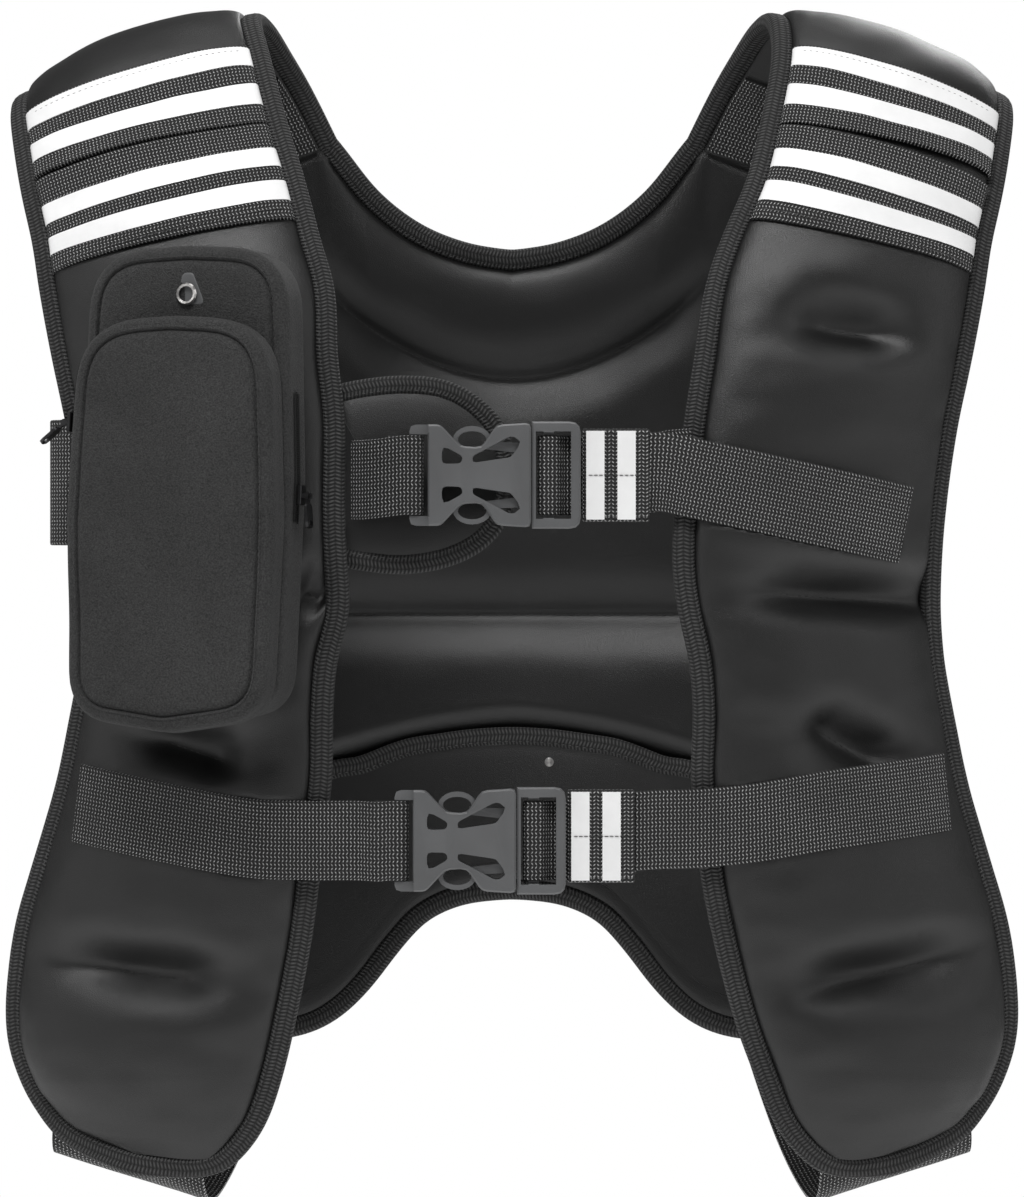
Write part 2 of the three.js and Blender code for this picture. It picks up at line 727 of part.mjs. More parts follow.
const lineAt = (a, b, k) => ({ neck: mix(a.neck, b.neck, k), arm: mix(a.arm, b.arm, k) });
for (const side of sides) {
  const ranges = {
    upper: { from: bandLines.top, to: lineAt(bandLines.top, bandLines.slit, 1 - slitShare) },
    lower: { from: lineAt(bandLines.slit, bandLines.foot, slitShare), to: bandLines.foot },
  };
  for (const band of ['upper', 'lower']) {
    piece(`shoulder_band_${side}_${band}`, sheetOnPanel(side, ranges[band], bandLift, bandThick, 3), 'webbing');
  }
  stripeRows.forEach((row, n) => {
    const range = ranges[row.band];
    const part = {
      from: lineAt(range.from, range.to, row.from),
      to: lineAt(range.from, range.to, row.to),
    };
    const lift = bandLift + bandThick + gap;
    piece(`reflective_stripe_${side}_${n + 1}`, sheetOnPanel(side, part, lift, tapeThick, 1), 'tape');
  });
}

// webbing patches inside the back of the shoulders
for (const side of sides) {
  const make = (grow) => {
    const low = [];
    const high = [];
    for (let i = 0; i <= 3; i += 1) {
      const t = mix(22.3 - grow * 0.02, 23.9 + grow * 0.02, i / 3);
      const a = [];
      const b = [];
      for (let j = 0; j <= panelCols; j += 1) {
        const u = clamp(columnAt(j, panelCols), 0.01 - grow * 0.02, 0.99 + grow * 0.02);
        a.push(panelPoint(side, t, u, -1, 0.1 - grow));
        b.push(panelPoint(side, t, u, -1, 0.1 + bandThick + grow));
      }
      low.push(a);
      high.push(b);
    }
    return gridSolid(low, high);
  };
  piece(`shoulder_patch_${side}`, make(0), 'webbing');
  cuts[side].push(make(gap));
}

// buckles: a hollow socket, and a plug whose two sprung arms lie in it
// drawn in a plane: a runs along the strap, b up, the depth towards the front
const socketThick = 11;
const cavity = 6;
const armThick = cavity - 2 * gap - 0.4;
const slotHalf = strapWidth / 2 + 0.5;
const half = 23.5;
const waist = 12.7;

function mirrored(points) {
  return [...points, ...points.map((p) => [p[0], -p[1], p[2]]).reverse()];
}

function socketOutline() {
  return rounded(
    mirrored([
      [-54.5, slotHalf, 0],
      [-54.5, 22.7, 3],
      [-40.6, 22.7, 4],
      [-31.5, waist + 0.3, 5],
      [-22, waist - 0.3, 5],
      [-15.5, half - 1, 5],
      [0, half, 2.4],
    ]).filter((p, i, all) => i !== 0 && i !== all.length - 1),
    2,
  );
}

function buckleSocket(origin) {
  const a = [1, 0, 0];
  const b = [0, 0, 1];
  const n = [0, -1, 0];
  const slot = [[-51, -slotHalf], [-46.3, -slotHalf], [-46.3, slotHalf], [-51, slotHalf]];
  const body = plate(socketOutline(), [slot], origin, a, b, n, -socketThick / 2, socketThick / 2, 0.8);
  const hollow = plate(
    [[-37.5, -21], [1, -21], [1, 21], [-37.5, 21]],
    [],
    origin,
    a,
    b,
    n,
    -cavity / 2,
    cavity / 2,
  );
  const windows = [];
  for (const s of [1, -1]) {
    windows.push(rounded([[-39.8, 13.5 * s, 2], [-30.2, 8.2 * s, 2], [-31.5, 5.2 * s, 2], [-40, 5 * s, 2]], 2));
    windows.push(rounded([[-26.5, 5.4 * s, 1.5], [-26, 8.6 * s, 2], [-9, 17.6 * s, 4], [-3.4, 15.6 * s, 3], [-9, 8 * s, 3]], 2));
  }
  const tools = windows.map((w) => {
    const order = s2(w);
    return plate(order, [], origin, a, b, n, -socketThick / 2 - 1, socketThick / 2 + 1);
  });
  // thinner bar at the webbing end, and thinner arms beside it
  const thin = [
    plate([[-56, -24], [-45.9, -24], [-45.9, 24], [-56, 24]], [], origin, a, b, n, 2.4, socketThick),
    plate([[-56, -24], [-45.9, -24], [-45.9, 24], [-56, 24]], [], origin, a, b, n, -socketThick, -2.4),
    plate([[-56, -slotHalf], [-45.9, -slotHalf], [-45.9, slotHalf], [-56, slotHalf]], [], origin, a, b, n, 1.5, 6),
    plate([[-56, -slotHalf], [-45.9, -slotHalf], [-45.9, slotHalf], [-56, slotHalf]], [], origin, a, b, n, -6, -1.5),
  ];
  return cut(body, [hollow, ...tools, ...thin]);
}

// keep an outline turning the same way
function s2(outline) {
  let area = 0;
  outline.forEach((p, i) => {
    const q = outline[(i + 1) % outline.length];
    area += p[0] * q[1] - q[0] * p[1];
  });
  return area < 0 ? outline.slice().reverse() : outline;
}

function bucklePlug(origin) {
  const a = [1, 0, 0];
  const b = [0, 0, 1];
  const n = [0, -1, 0];
  const outline = rounded([[0.4, -24, 0], [22.3, -24, 5], [22.3, 24, 5], [0.4, 24, 0]], 3);
  const slotL = [[2.2, -19.6], [5.6, -19.6], [5.6, 19.6], [2.2, 19.6]];
  const slotR = [[10.4, -19.6], [18, -19.6], [18, 19.6], [10.4, 19.6]];
  const frame = plate(outline, [], origin, a, b, n, -4.6, 4.6, 0.8);
  const thin = [
    plate(slotL, [], origin, a, b, n, -6, 6),
    plate(slotR, [], origin, a, b, n, -6, 6),
    plate([[3.4, -19.2], [11.4, -19.2], [11.4, 19.2], [3.4, 19.2]], [], origin, a, b, n, 1.2, 6),
    plate([[3.4, -19.2], [11.4, -19.2], [11.4, 19.2], [3.4, 19.2]], [], origin, a, b, n, -6, -1.2),
    plate([[15, -19.2], [24, -19.2], [24, 19.2], [15, 19.2]], [], origin, a, b, n, -6, -1.0),
  ];
  const body = cut(frame, thin);
  const parts = [body];
  const h = armThick / 2;
  for (const s of [1, -1]) {
    const arm = s2([[1, 14.2 * s], [1, 9.2 * s], [-20, 11.6 * s], [-21, 15.2 * s]]);
    parts.push(plate(arm, [], origin, a, b, n, -h, h));
    const ring = [];
    const hole = [];
    for (let k = 0; k < 20; k += 1) {
      const turn = (2 * Math.PI * k) / 20;
      ring.push([-26.4 + 8.6 * Math.cos(turn), (15.9 + 6.2 * Math.sin(turn)) * s]);
      hole.push([-26.4 + 6.4 * Math.cos(turn), (16.1 + 3.7 * Math.sin(turn)) * s]);
    }
    parts.push(plate(s2(ring), [s2(hole)], origin, a, b, n, -h, h));
  }
  parts.push(plate([[-33, -1.8], [1, -1.8], [1, 1.8], [-33, 1.8]], [], origin, a, b, n, -h, h));
  return join(parts);
}

const upperBuckle = [8.5, -114, -187];
const lowerBuckle = [1.8, -113, -351];
for (const [place, name] of [[upperBuckle, 'upper'], [lowerBuckle, 'lower']]) {
  piece(`buckle_socket_${name}`, buckleSocket(place), 'plastic');
  piece(`buckle_plug_${name}`, bucklePlug(place), 'plastic');
}

// webbing round the buckle bars
const onBuckle = (place, rows, z = 0) => rows.map((r) => [place[0] + r[0], place[1] - r[1], place[2] + (r[2] || z)]);
const socketLoop = [[-57, 2.4], [-53, 2.9], [-50.2, 2.2], [-48.9, 0], [-50.2, -2.2], [-53, -2.9], [-58, -2.6], [-64, -2.2]];
const plugLoop = [
  [30, -2.3], [18, -2.3], [14.6, -1.6], [12.4, 0.6], [10.6, 2.3], [8, 2.6], [5.4, 2.3], [4, 0.6],
  [3.9, -1.6], [5.4, -3.9], [8.6, -4.5], [18, -4.5], [30, -4.5],
];

// lays a strap over one front panel along a line of middle heights
function overPanel(side, from, to, heightAt, extra) {
  const s = signOf[side];
  const points = [];
  const steps = 40;
  for (let i = 0; i <= steps; i += 1) {
    const x = mix(from, to, i / steps);
    const z = heightAt(x);
    let y = null;
    for (const dz of [-16, -8, 0, 8, 16]) {
      const hit = faceAt(rawPanel[side], s * x, z + dz, true);
      if (hit !== null && (y === null || hit < y)) {
        y = hit;
      }
    }
    if (y !== null) {
      points.push([x, y]);
    }
  }
  return taut([...extra, ...points].sort((p, q) => p[0] - q[0]));
}

const pressed = 0.9; // how deep a taut strap sinks into the padding
const upZ = [0, 0, 1];

// upper strap, left: from the neck binding to the socket
{
  const line = smoothLine(
    [[-71.8, -104.5, -189], [-68, -108, -189], [-60, -113.5, -188.4], ...onBuckle(upperBuckle, socketLoop)],
    20,
  );
  piece('upper_strap_left', strap(line, upZ, strapWidth, webThick), 'webbing');
}

// upper strap, right: sewn down beside the neck binding, through the plug and back over the panel
{
  const tailZ = (x) => mix(-184.5, -209, clamp((x - 64) / 114, 0, 1));
  const bindingFace = -0.99 * chest - bindThick / 2;
  const rim = 0.36 * halfWidth;
  const rest = overPanel('right', rim, 182, tailZ, [[66, bindingFace - 3.6], [rim, bindingFace - 4.1]]);
  const y = (x) => rest(x) - webThick / 2 + pressed - 0.4;
  const tail = [];
  for (const x of [178, 168, 158, 146, 134, 122, 110, 98, 88, 78, 70]) {
    tail.push([x, y(x), tailZ(x)]);
  }
  const under = [[62, -109.9, -186], [72, -110.4, -184.4], [82, -110.4, -183.6]];
  const loop = onBuckle(upperBuckle, plugLoop);
  const line = [...smoothLine([...tail, [63, -112, -185.4], ...loop.slice(0, 2)], 18).slice(0, -1)];
  line.push(...smoothLine(loop.slice(1, -1), 17).slice(0, -1));
  line.push(...smoothLine([...loop.slice(-2), ...under], 7));
  const make = (grow) => {
    const top = [];
    const bottom = [];
    line.forEach((p, i) => {
      const tilt = clamp((p[0] - 60) / 20, 0, 1) * (i < 14 ? 0.2 : -0.12);
      const up = unit([tilt, 0, 1]);
      top.push(add(p, up, strapWidth / 2));
      bottom.push(add(p, up, -strapWidth / 2));
    });
    return ribbon(top, bottom, webThick, grow);
  };
  piece('upper_strap_right', make(0), 'webbing');
  cuts.right.push(make(gap));
}

// lower straps: from the arm bindings over the panels to the buckle
function lowerStrap(side) {
  const s = signOf[side];
  const rows =
    side === 'left'
      ? [[30, -351.6], [72, -351], [92, -351], [118, -350], [157, -343.3], [206, -333.5]]
      : [[24, -350.5], [59, -346.5], [85, -345.5], [110, -343], [140, -338], [170, -334], [206, -329]];
  const heights = rows.map((r) => ({ x: r[0], z: r[1] }));
  const heightAt = (x) => table(heights, 'x', 'z', x);
  const start = side === 'left' ? 62 : 58;
  const end = side === 'left' ? 197.5 : 197.5;
  const neckEdge = 0.36 * halfWidth;
  const bindingFace = -0.97 * chest - bindThick / 2 - gap;
  const rest = overPanel(side, neckEdge, end + 2, heightAt, [[start - 6, bindingFace - 5], [neckEdge - 4, bindingFace - 0.6]]);
  const line = [];
  const count = 13;
  for (let i = 0; i <= count; i += 1) {
    const x = mix(end, start + 6, i / count);
    line.push([s * x, rest(x) - webThick / 2 + pressed, heightAt(x)]);
  }
  return line;
}
{
  const line = lowerStrap('left');
  const loop = onBuckle(lowerBuckle, socketLoop);
  const all = [...line.slice(0, -1), ...smoothLine([line[line.length - 1], [-60, -115, -351.4], ...loop], 18)];
  const make = (grow) => {
    const top = all.map((p) => add(p, unit([0.12 * clamp((-p[0] - 100) / 60, 0, 1), 0, 1]), strapWidth / 2));
    const bottom = all.map((p) => add(p, unit([0.12 * clamp((-p[0] - 100) / 60, 0, 1), 0, 1]), -strapWidth / 2));
    return ribbon(top, bottom, webThick, grow);
  };
  piece('lower_strap_left', make(0), 'webbing');
  cuts.left.push(make(gap));
}
{
  const line = lowerStrap('right');
  const loop = onBuckle(lowerBuckle, plugLoop);
  const all = [...line.slice(0, -1)];
  all.push(...smoothLine([line[line.length - 1], [48, -110.8, -347.6], ...loop.slice(0, 2)], 8).slice(0, -1));
  all.push(...smoothLine(loop.slice(1, -1), 17).slice(0, -1));
  all.push(...smoothLine([...loop.slice(-2), [40, -108.5, -349], [56, -108.5, -347.2]], 6));
  const make = (grow) => {
    const lean = (p, i) => unit([-0.1 * clamp((p[0] - 100) / 60, 0, 1), 0, 1]);
    const top = all.map((p, i) => add(p, lean(p, i), strapWidth / 2));
    const bottom = all.map((p, i) => add(p, lean(p, i), -strapWidth / 2));
    return ribbon(top, bottom, webThick, grow);
  };
  piece('lower_strap_right', make(0), 'webbing');
  cuts.right.push(make(gap));
}

// striped keepers that hold both layers of each strap together
const keeperWall = 1.2;
const keeperReach = 30;
const keeperSlack = 2.2;
function keeper(name, place, fromX, centreZ) {
  const y0 = place[1] + 2.3 - webThick / 2 - gap - 0.25;
  const y1 = place[1] + 4.5 + webThick / 2 + gap + 0.25;
  const z0 = centreZ - strapWidth / 2 - gap - keeperSlack;
  const z1 = centreZ + strapWidth / 2 + gap + keeperSlack;
  const ring = (g) => rounded([[y0 - g, z0 - g, 1.2], [y1 + g, z0 - g, 1.2], [y1 + g, z1 + g, 1.2], [y0 - g, z1 + g, 1.2]], 2);
  piece(
    `strap_keeper_${name}`,
    plate(ring(keeperWall), [ring(0).reverse()], [fromX, 0, 0], [0, 1, 0], [0, 0, 1], [1, 0, 0], 0, keeperReach),
    'webbing',
  );
  const front = y0 - keeperWall - gap;
  [1.6, 15.6].forEach((at, n) => {
    piece(
      `keeper_stripe_${name}_${n + 1}`,
      plate(
        [[0, z0 - keeperWall + 1], [8.2, z0 - keeperWall + 1], [8.2, z1 + keeperWall - 1], [0, z1 + keeperWall - 1]],
        [],
        [fromX + at, front, 0],
        [1, 0, 0],
        [0, 0, 1],
        [0, -1, 0],
        0,
        tapeThick,
      ),
      'tape',
    );
  });
}
keeper('upper', upperBuckle, upperBuckle[0] + 23.2, upperBuckle[2]);
keeper('lower', lowerBuckle, lowerBuckle[0] + 23.2, lowerBuckle[2] + 2);

// padded tab behind the upper buckle
const tabOutline = [
  [-80, -154], [-66, -151], [-50, -149.5], [-31, -151.5], [-17, -160], [-9, -171], [-6.3, -187],
  [-9, -203], [-17, -213], [-31, -220], [-50, -223], [-66, -221.5], [-80, -219],
];
const tabThick = 5;
const tabMid = [0, -94.8, -187]; // middle of its front face
const tabUp = unit([0, 0.085, 1]);
const tabOut = unit([0, -1, 0.085]);
{
  const curve = smoothLine(tabOutline.map((p) => [p[0], 0, p[1] - tabMid[2]]), 20);
  const outline = curve.map((p) => [p[0], p[2]]);
  piece(
    'buckle_pad',
    plate(s2(outline), [], tabMid, [1, 0, 0], tabUp, tabOut, -tabThick, 0, 1.2),
    'neoprene',
  );
  const points = curve.map((p) => add(add(add(tabMid, [1, 0, 0], p[0]), tabUp, p[2]), tabOut, -tabThick / 2));
  const normals = points.map(() => tabOut);
  const outs = curve.map((p) => [p[0] + 50, 0, p[2]]);
  piece('buckle_pad_binding', bindRings(points, normals, outs, 0, points.length - 1, 9, tabThick), 'binding');
}

// lower flap inside the back, bound along its arched top
const flapThick = 4;
const flapBind = 8.5;
const flapSide = 0.93;
function archV(u) {
  const w = Math.abs(u);
  let lo = 0;
  let hi = 0.6;
  for (let i = 0; i < 24; i += 1) {
    const v = (lo + hi) / 2;
    const p = backMid(w, v);
    const want = (flapTop - 0.075 * clamp(Math.abs(p[0]) / halfWidth / 0.62, 0, 1) ** 1.6) * drop;
    if (p[2] < want) {
      lo = v;
    } else {
      hi = v;
    }
  }
  return (lo + hi) / 2;
}
// a point on the flap: lift is measured inwards from its inner face
const flapBulge = (u) => 5.6 * Math.sqrt(Math.max(0, 1 - Math.abs(u / 1.02) ** 6));
function flapPoint(u, v, lift) {
  return add(backMid(u, v), backNormal(u, v), -(rimHalf + flapBulge(u) + flapThick + lift));
}
{
  const cols = 16;
  const rows = 3;
  const make = (grow) => {
    const low = [];
    const high = [];
    for (let i = 0; i <= rows; i += 1) {
      const a = [];
      const b = [];
      for (let j = 0; j <= cols; j += 1) {
        const reach = flapSide + grow * 0.005;
        const u = mix(-reach, reach, j / cols);
        const v = mix(0.025 - grow * 0.003, archV(u) + grow * 0.003, i / rows);
        a.push(flapPoint(u, v, -flapThick - grow));
        b.push(flapPoint(u, v, grow));
      }
      low.push(a);
      high.push(b);
    }
    return gridSolid(low, high);
  };
  piece('lumbar_flap', make(0), 'neoprene');
  cuts.back.push(make(gap));
  cuts.flap = [make(gap)];
  const points = [];
  const normals = [];
  const outs = [];
  for (let j = 0; j <= cols; j += 1) {
    const u = mix(-flapSide, flapSide, j / cols);
    const v = archV(u);
    points.push(flapPoint(u, v, -flapThick / 2));
    normals.push(backNormal(u, v));
    outs.push([0, 0, 1]);
  }
  piece('lumbar_flap_binding', bindRings(points, normals, outs, 0, cols, flapBind, flapThick + 1.6), 'binding');
  const bind = bindRings(points, normals, outs, 0, cols, flapBind + 2 * gap, flapThick + 1.6 + 2 * gap, -gap);
  bind.translate(0, 0, -gap);
  cuts.back.push(bind);
  // small stud on the flap, just under its binding
  const at = backMid(0.03, archV(0.03) - 0.03);
  const n = backNormal(0.03, archV(0.03) - 0.03);
  const seat = add(at, n, -(rimHalf + 5.6 + flapThick + gap + 0.2));
  const stud = new THREE.LatheGeometry(
    [[0, 0], [2.6, 0], [2.6, 0.5], [1.7, 1.4], [0, 1.7]].map((p) => new THREE.Vector2(p[0], p[1])),
    14,
  );
  const turn = new THREE.Quaternion().setFromUnitVectors(new THREE.Vector3(0, 1, 0), new THREE.Vector3(-n[0], -n[1], -n[2]));
  stud.applyQuaternion(turn);
  stud.translate(seat[0] + 12, seat[1], seat[2]);
  stud.deleteAttribute('normal');
  stud.deleteAttribute('uv');
  piece('lumbar_stud', mergeVertices(stud, 1e-4), 'metal');
}

// pouch on the left panel
const pouchTurn = (20.5 * Math.PI) / 180;
const pouchLean = (3 * Math.PI) / 180;
const pouchSeat = [-140.5, -102.2, -195];
const pa = [Math.cos(pouchTurn), -Math.sin(pouchTurn), 0];
const pn0 = [-Math.sin(pouchTurn), -Math.cos(pouchTurn), 0];
const pb = unit(add(scale([0, 0, 1], Math.cos(pouchLean)), pn0, -Math.sin(pouchLean)));
const pn = unit(cross(pb, pa)).map((v) => -v);
const pouchOut = dot(pn, pn0) > 0 ? pn : scale(pn, -1);
const onPouch = (a, b, n) => add(add(add(pouchSeat, pa, a), pb, b), pouchOut, n);

const mainDeep = 21;
const mainWide = 103;
const frontDeep = 15;
const frontWide = 101;
function pocketOutline(wide, top, foot, topRadius, footRadius, sag) {
  const w = wide / 2;
  return rounded(
    [
      [-w + 3, foot, footRadius],
      [0, foot - sag, 30],
      [w - 3, foot, footRadius],
      [w, (top + foot) / 2, 60],
      [w - 4, top, topRadius],
      [0, top + 2.5, 40],
      [-w + 4, top, topRadius],
      [-w, (top + foot) / 2, 60],
    ],
    3,
  );
}
const mainOutline = pocketOutline(mainWide, 108, -98, 30, 22, 6);
const frontOutline = pocketOutline(frontWide, 75, -102, 34, 24, 7);
const mainBody = (grow) =>
  plate(
    grow ? mainOutline.map((p) => [p[0] * 1.006, p[1] * 1.004]) : mainOutline,
    [],
    pouchSeat,
    pa,
    pb,
    pouchOut,
    -grow,
    mainDeep + grow,
    5,
  );
const mainPocket = mainBody(0);
cuts.left.push(mainBody(gap));
const frontPocket = plate(frontOutline, [], pouchSeat, pa, pb, pouchOut, mainDeep + gap, mainDeep + gap + frontDeep, 5);
piece('pouch_main', mainPocket, 'pouch');
piece('pouch_front', frontPocket, 'pouch');

// cable port on the face of the main pocket
piece(
  'port_patch',
  plate(
    rounded([[-9, -7, 2], [9, -7, 2], [2.6, 8, 2], [-2.6, 8, 2]], 2),
    [],
    onPouch(1.3, 90, 0),
    pa,
    pb,
    pouchOut,
    mainDeep + gap,
    mainDeep + gap + 0.9,
    0.2,
  ),
  'pouch',
);
{
  const at = onPouch(1.3, 88, mainDeep + 2 * gap + 0.9 + 0.9);
  const ring = new THREE.TorusGeometry(4.2, 0.85, 5, 16);
  const basis = new THREE.Matrix4().makeBasis(
    new THREE.Vector3(...pa),
    new THREE.Vector3(...pb),
    new THREE.Vector3(...cross(pa, pb)),
  );
  ring.applyMatrix4(basis);
  ring.translate(at[0], at[1], at[2]);
  ring.deleteAttribute('normal');
  ring.deleteAttribute('uv');
  piece('port_ring', mergeVertices(ring, 1e-4), 'metal');
}

// webbing that holds the pouch round the arm edge of the panel
{
  const line = smoothLine(
    [
      [-179, -83.2, -189.5], [-191, -78.6, -189.5], [-203, -73, -189.5], [-209.6, -66, -189.5],
      [-208.5, -57, -189.5], [-201, -52.4, -189.5], [-188, -54.2, -189.5], [-166, -64, -189.5], [-146, -72.4, -189.5],
    ],
    16,
  );
  piece('pouch_band', strap(line, upZ, 57, 1.5), 'webbing');
  cuts.left.push(strap(line, upZ, 57, 1.5, gap));
}

// zips: a chain, a slider with a pin between two lugs, and a pull that turns on the pin
const zips = [
  // wall is the direction out of the pocket's side, pull the angle from hanging flat
  { name: 'left', outline: frontOutline, b: 30, n: mainDeep + 8, wall: -1, from: 0, to: 58, pull: 48 },
  { name: 'right', outline: mainOutline, b: -2, n: 11, wall: 1, from: -14, to: 44, pull: 6 },
];
const chainWide = 5;
const chainThick = 1.1;
const chainSteps = 9;
const pinHeight = 5.4;

// where the side of a pocket outline lies at height b
function sideAt(outline, wall, b) {
  let best = 0;
  outline.forEach((p, i) => {
    const q = outline[(i + 1) % outline.length];
    if ((p[1] - b) * (q[1] - b) <= 0 && p[1] !== q[1]) {
      const a = mix(p[0], q[0], (b - p[1]) / (q[1] - p[1]));
      best = a * wall > best * wall ? a : best;
    }
  });
  return best;
}

// direction up the side, direction out of it, and the point a clearance outside it
function sideFrame(zip, b, lift) {
  const da = sideAt(zip.outline, zip.wall, b + 1) - sideAt(zip.outline, zip.wall, b - 1);
  const run = unit(add(scale(pb, 2), pa, da));
  const out = scale(unit(cross(run, pouchOut)), 1);
  const away = dot(out, pa) * zip.wall > 0 ? out : scale(out, -1);
  return { run, out: away, at: add(onPouch(sideAt(zip.outline, zip.wall, b), b, zip.n), away, lift) };
}

for (const zip of zips) {
  const rings = [];
  for (let i = 0; i <= chainSteps; i += 1) {
    const f = sideFrame(zip, mix(zip.from, zip.to, i / chainSteps), gap);
    const low = add(f.at, pouchOut, -chainWide / 2);
    const high = add(f.at, pouchOut, chainWide / 2);
    rings.push([low, high, add(high, f.out, chainThick), add(low, f.out, chainThick)]);
  }
  piece(`zip_chain_${zip.name}`, ringSolid(rings), 'chain');
  const { run, out, at: base } = sideFrame(zip, zip.b, gap);
  const foot = chainThick + gap;
  const box = (b0, b1, n0, n1, h0, h1, bevel = 0) =>
    plate([[b0, n0], [b1, n0], [b1, n1], [b0, n1]], [], base, run, pouchOut, out, h0, h1, bevel);
  const pin = [];
  for (let k = 0; k < 10; k += 1) {
    const turn = (2 * Math.PI * k) / 10;
    pin.push([0.7 * Math.cos(turn), pinHeight + 0.7 * Math.sin(turn)]);
  }
  const slider = join([
    box(-4.2, 4.8, -3.1, 3.1, foot, foot + 1.9, 0.4),
    box(-1.1, 1.1, -2.7, -1.6, foot + 1, pinHeight + 1.1, 0),
    box(-1.1, 1.1, 1.6, 2.7, foot + 1, pinHeight + 1.1, 0),
    plate(pin, [], base, run, out, pouchOut, -2, 2),
  ]);
  piece(`zip_slider_${zip.name}`, slider, 'metal');
  const origin = add(base, out, pinHeight);
  const turn = (zip.pull * Math.PI) / 180;
  const down = add(scale(run, -Math.cos(turn)), out, Math.sin(turn));
  const face = add(scale(out, Math.cos(turn)), run, Math.sin(turn));
  const eye = [];
  const hole = [];
  for (let k = 0; k < 14; k += 1) {
    const a = (2 * Math.PI * k) / 14;
    eye.push([1.75 * Math.cos(a), 1.75 * Math.sin(a)]);
    hole.push([1.08 * Math.cos(a), 1.08 * Math.sin(a)]);
  }
  const pull = join([
    plate(eye, [hole.slice().reverse()], origin, down, face, pouchOut, -1.1, 1.1),
    plate([[1.3, -1.1], [4.2, -1.1], [4.2, 1.1], [1.3, 1.1]], [], origin, down, pouchOut, face, -0.6, 0.6),
    plate(
      rounded([[3.8, -3, 1], [14.5, -3.4, 2.6], [14.5, 3.4, 2.6], [3.8, 3, 1]], 2),
      [rounded([[10.8, -2.1, 0.8], [10.8, 2.1, 0.8], [13.2, 2.1, 0.8], [13.2, -2.1, 0.8]], 1)],
      origin,
      down,
      pouchOut,
      face,
      -0.6,
      0.6,
    ),
  ]);
  piece(`zip_pull_${zip.name}`, pull, 'metal');
}

// wide bands under the arms, from the front panels back to the lobes of the back
// the run of each edge between the two, and its ends: rows t and share u of the panel,
// share w and v of the flap
const bandEdges = {
  arm: {
    run: [[-210, -43, -481], [-211, -34, -496], [-207, -14, -494], [-191, 14, -470]],
    start: [{ t: 4.2, u: 0.84 }, { t: 3, u: 0.88 }],
    end: [{ w: 0.87, v: 0.06 }, { w: 0.87, v: 0.13 }],
  },
  neck: {
    run: [[-142, -61, -500], [-140, -52, -516], [-136, -33, -518], [-122, 6, -491]],
    start: [{ t: 2.6, u: 0.24 }, { t: 1.5, u: 0.26 }],
    end: [{ w: 0.6, v: 0.05 }, { w: 0.6, v: 0.12 }],
  },
};
for (const side of sides) {
  const s = signOf[side];
  const line = (edge) => {
    const points = [
      ...edge.start.map((q) => panelPoint(side, q.t, q.u, -1, 0.7)),
      ...edge.run.map((p) => [-p[0] * s, p[1], p[2]]),
      ...edge.end.map((q) => flapPoint(q.w * s, q.v, 1.3)),
    ];
    return smoothLine(points, 18);
  };
  const make = (grow) => ribbon(line(bandEdges.arm), line(bandEdges.neck), 1.8, grow);
  piece(`side_band_${side}`, cut(make(0), cuts.flap), 'webbing');
  cuts[side].push(make(gap));
  cuts.back.push(make(gap));
}

// the padded bodies, with seats for what is sewn on or pressed in
for (const side of sides) {
  piece(`front_panel_${side}`, cut(rawPanel[side], cuts[side]), 'neoprene');
  cuts.back.push(frontPanel(side, gap));
}
piece('back_panel', cut(backPanel(), cuts.back), 'neoprene');

// bindings of the panels
for (const side of sides) {
  const edge = panelEdge(side);
  const last = edge.points.length - 1;
  piece(`binding_${side}_inner`, bindRings(edge.points, edge.normals, edge.outs, 0, edge.middle), 'binding');
  piece(`binding_${side}_outer`, bindRings(edge.points, edge.normals, edge.outs, edge.middle, last), 'binding');
}
{
  const points = [];
  const normals = [];
  const outs = [];
  const count = backCols / 2;
  for (let j = 0; j <= count; j += 1) {
    const u = mix(-0.5, 0.5, j / count);
    points.push(backMid(u, 1));
    normals.push(backNormal(u, 1));
    outs.push(sub(backMid(u, 1), backMid(u, 0.9)));
  }
  piece('binding_back_neck', bindRings(points, normals, outs, 0, count, bindWidth, bindThick, 2.4), 'binding');
}
{
  const points = [];
  const normals = [];
  const outs = [];
  const arm = backSteps;
  for (let i = arm; i > 0; i -= 1) {
    points.push(backMid(-1, i / arm));
    normals.push(backNormal(-1, i / arm));
    outs.push([-1, 0, 0]);
  }
  const foot = backCols;
  for (let j = 0; j <= foot; j += 1) {
    const u = mix(-1, 1, j / foot);
    points.push(backMid(u, 0));
    normals.push(backNormal(u, 0));
    outs.push(sub(backMid(u, 0), backMid(u * 0.96, 0.1)));
  }
  for (let i = 1; i <= arm; i += 1) {
    points.push(backMid(1, i / arm));
    normals.push(backNormal(1, i / arm));
    outs.push([1, 0, 0]);
  }
  piece('binding_back_rim', bindRings(points, normals, outs, 0, points.length - 1), 'binding');
}

export default group;
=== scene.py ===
# %% [markdown]
# # A weighted vest
# Two padded front panels run over the shoulders and are sewn to a padded back. Every
# edge is bound, two buckled straps close the front, and a two-pocket pouch sits on one
# panel. The solids come first from the frame, and each soft piece is then built again at
# a finer step from the same formulas, because cloth shows its form in small changes.

# %% Load the frame
import json
import math

import bpy
import numpy as np
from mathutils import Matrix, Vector
from mathutils import noise
from mathutils.bvhtree import BVHTree

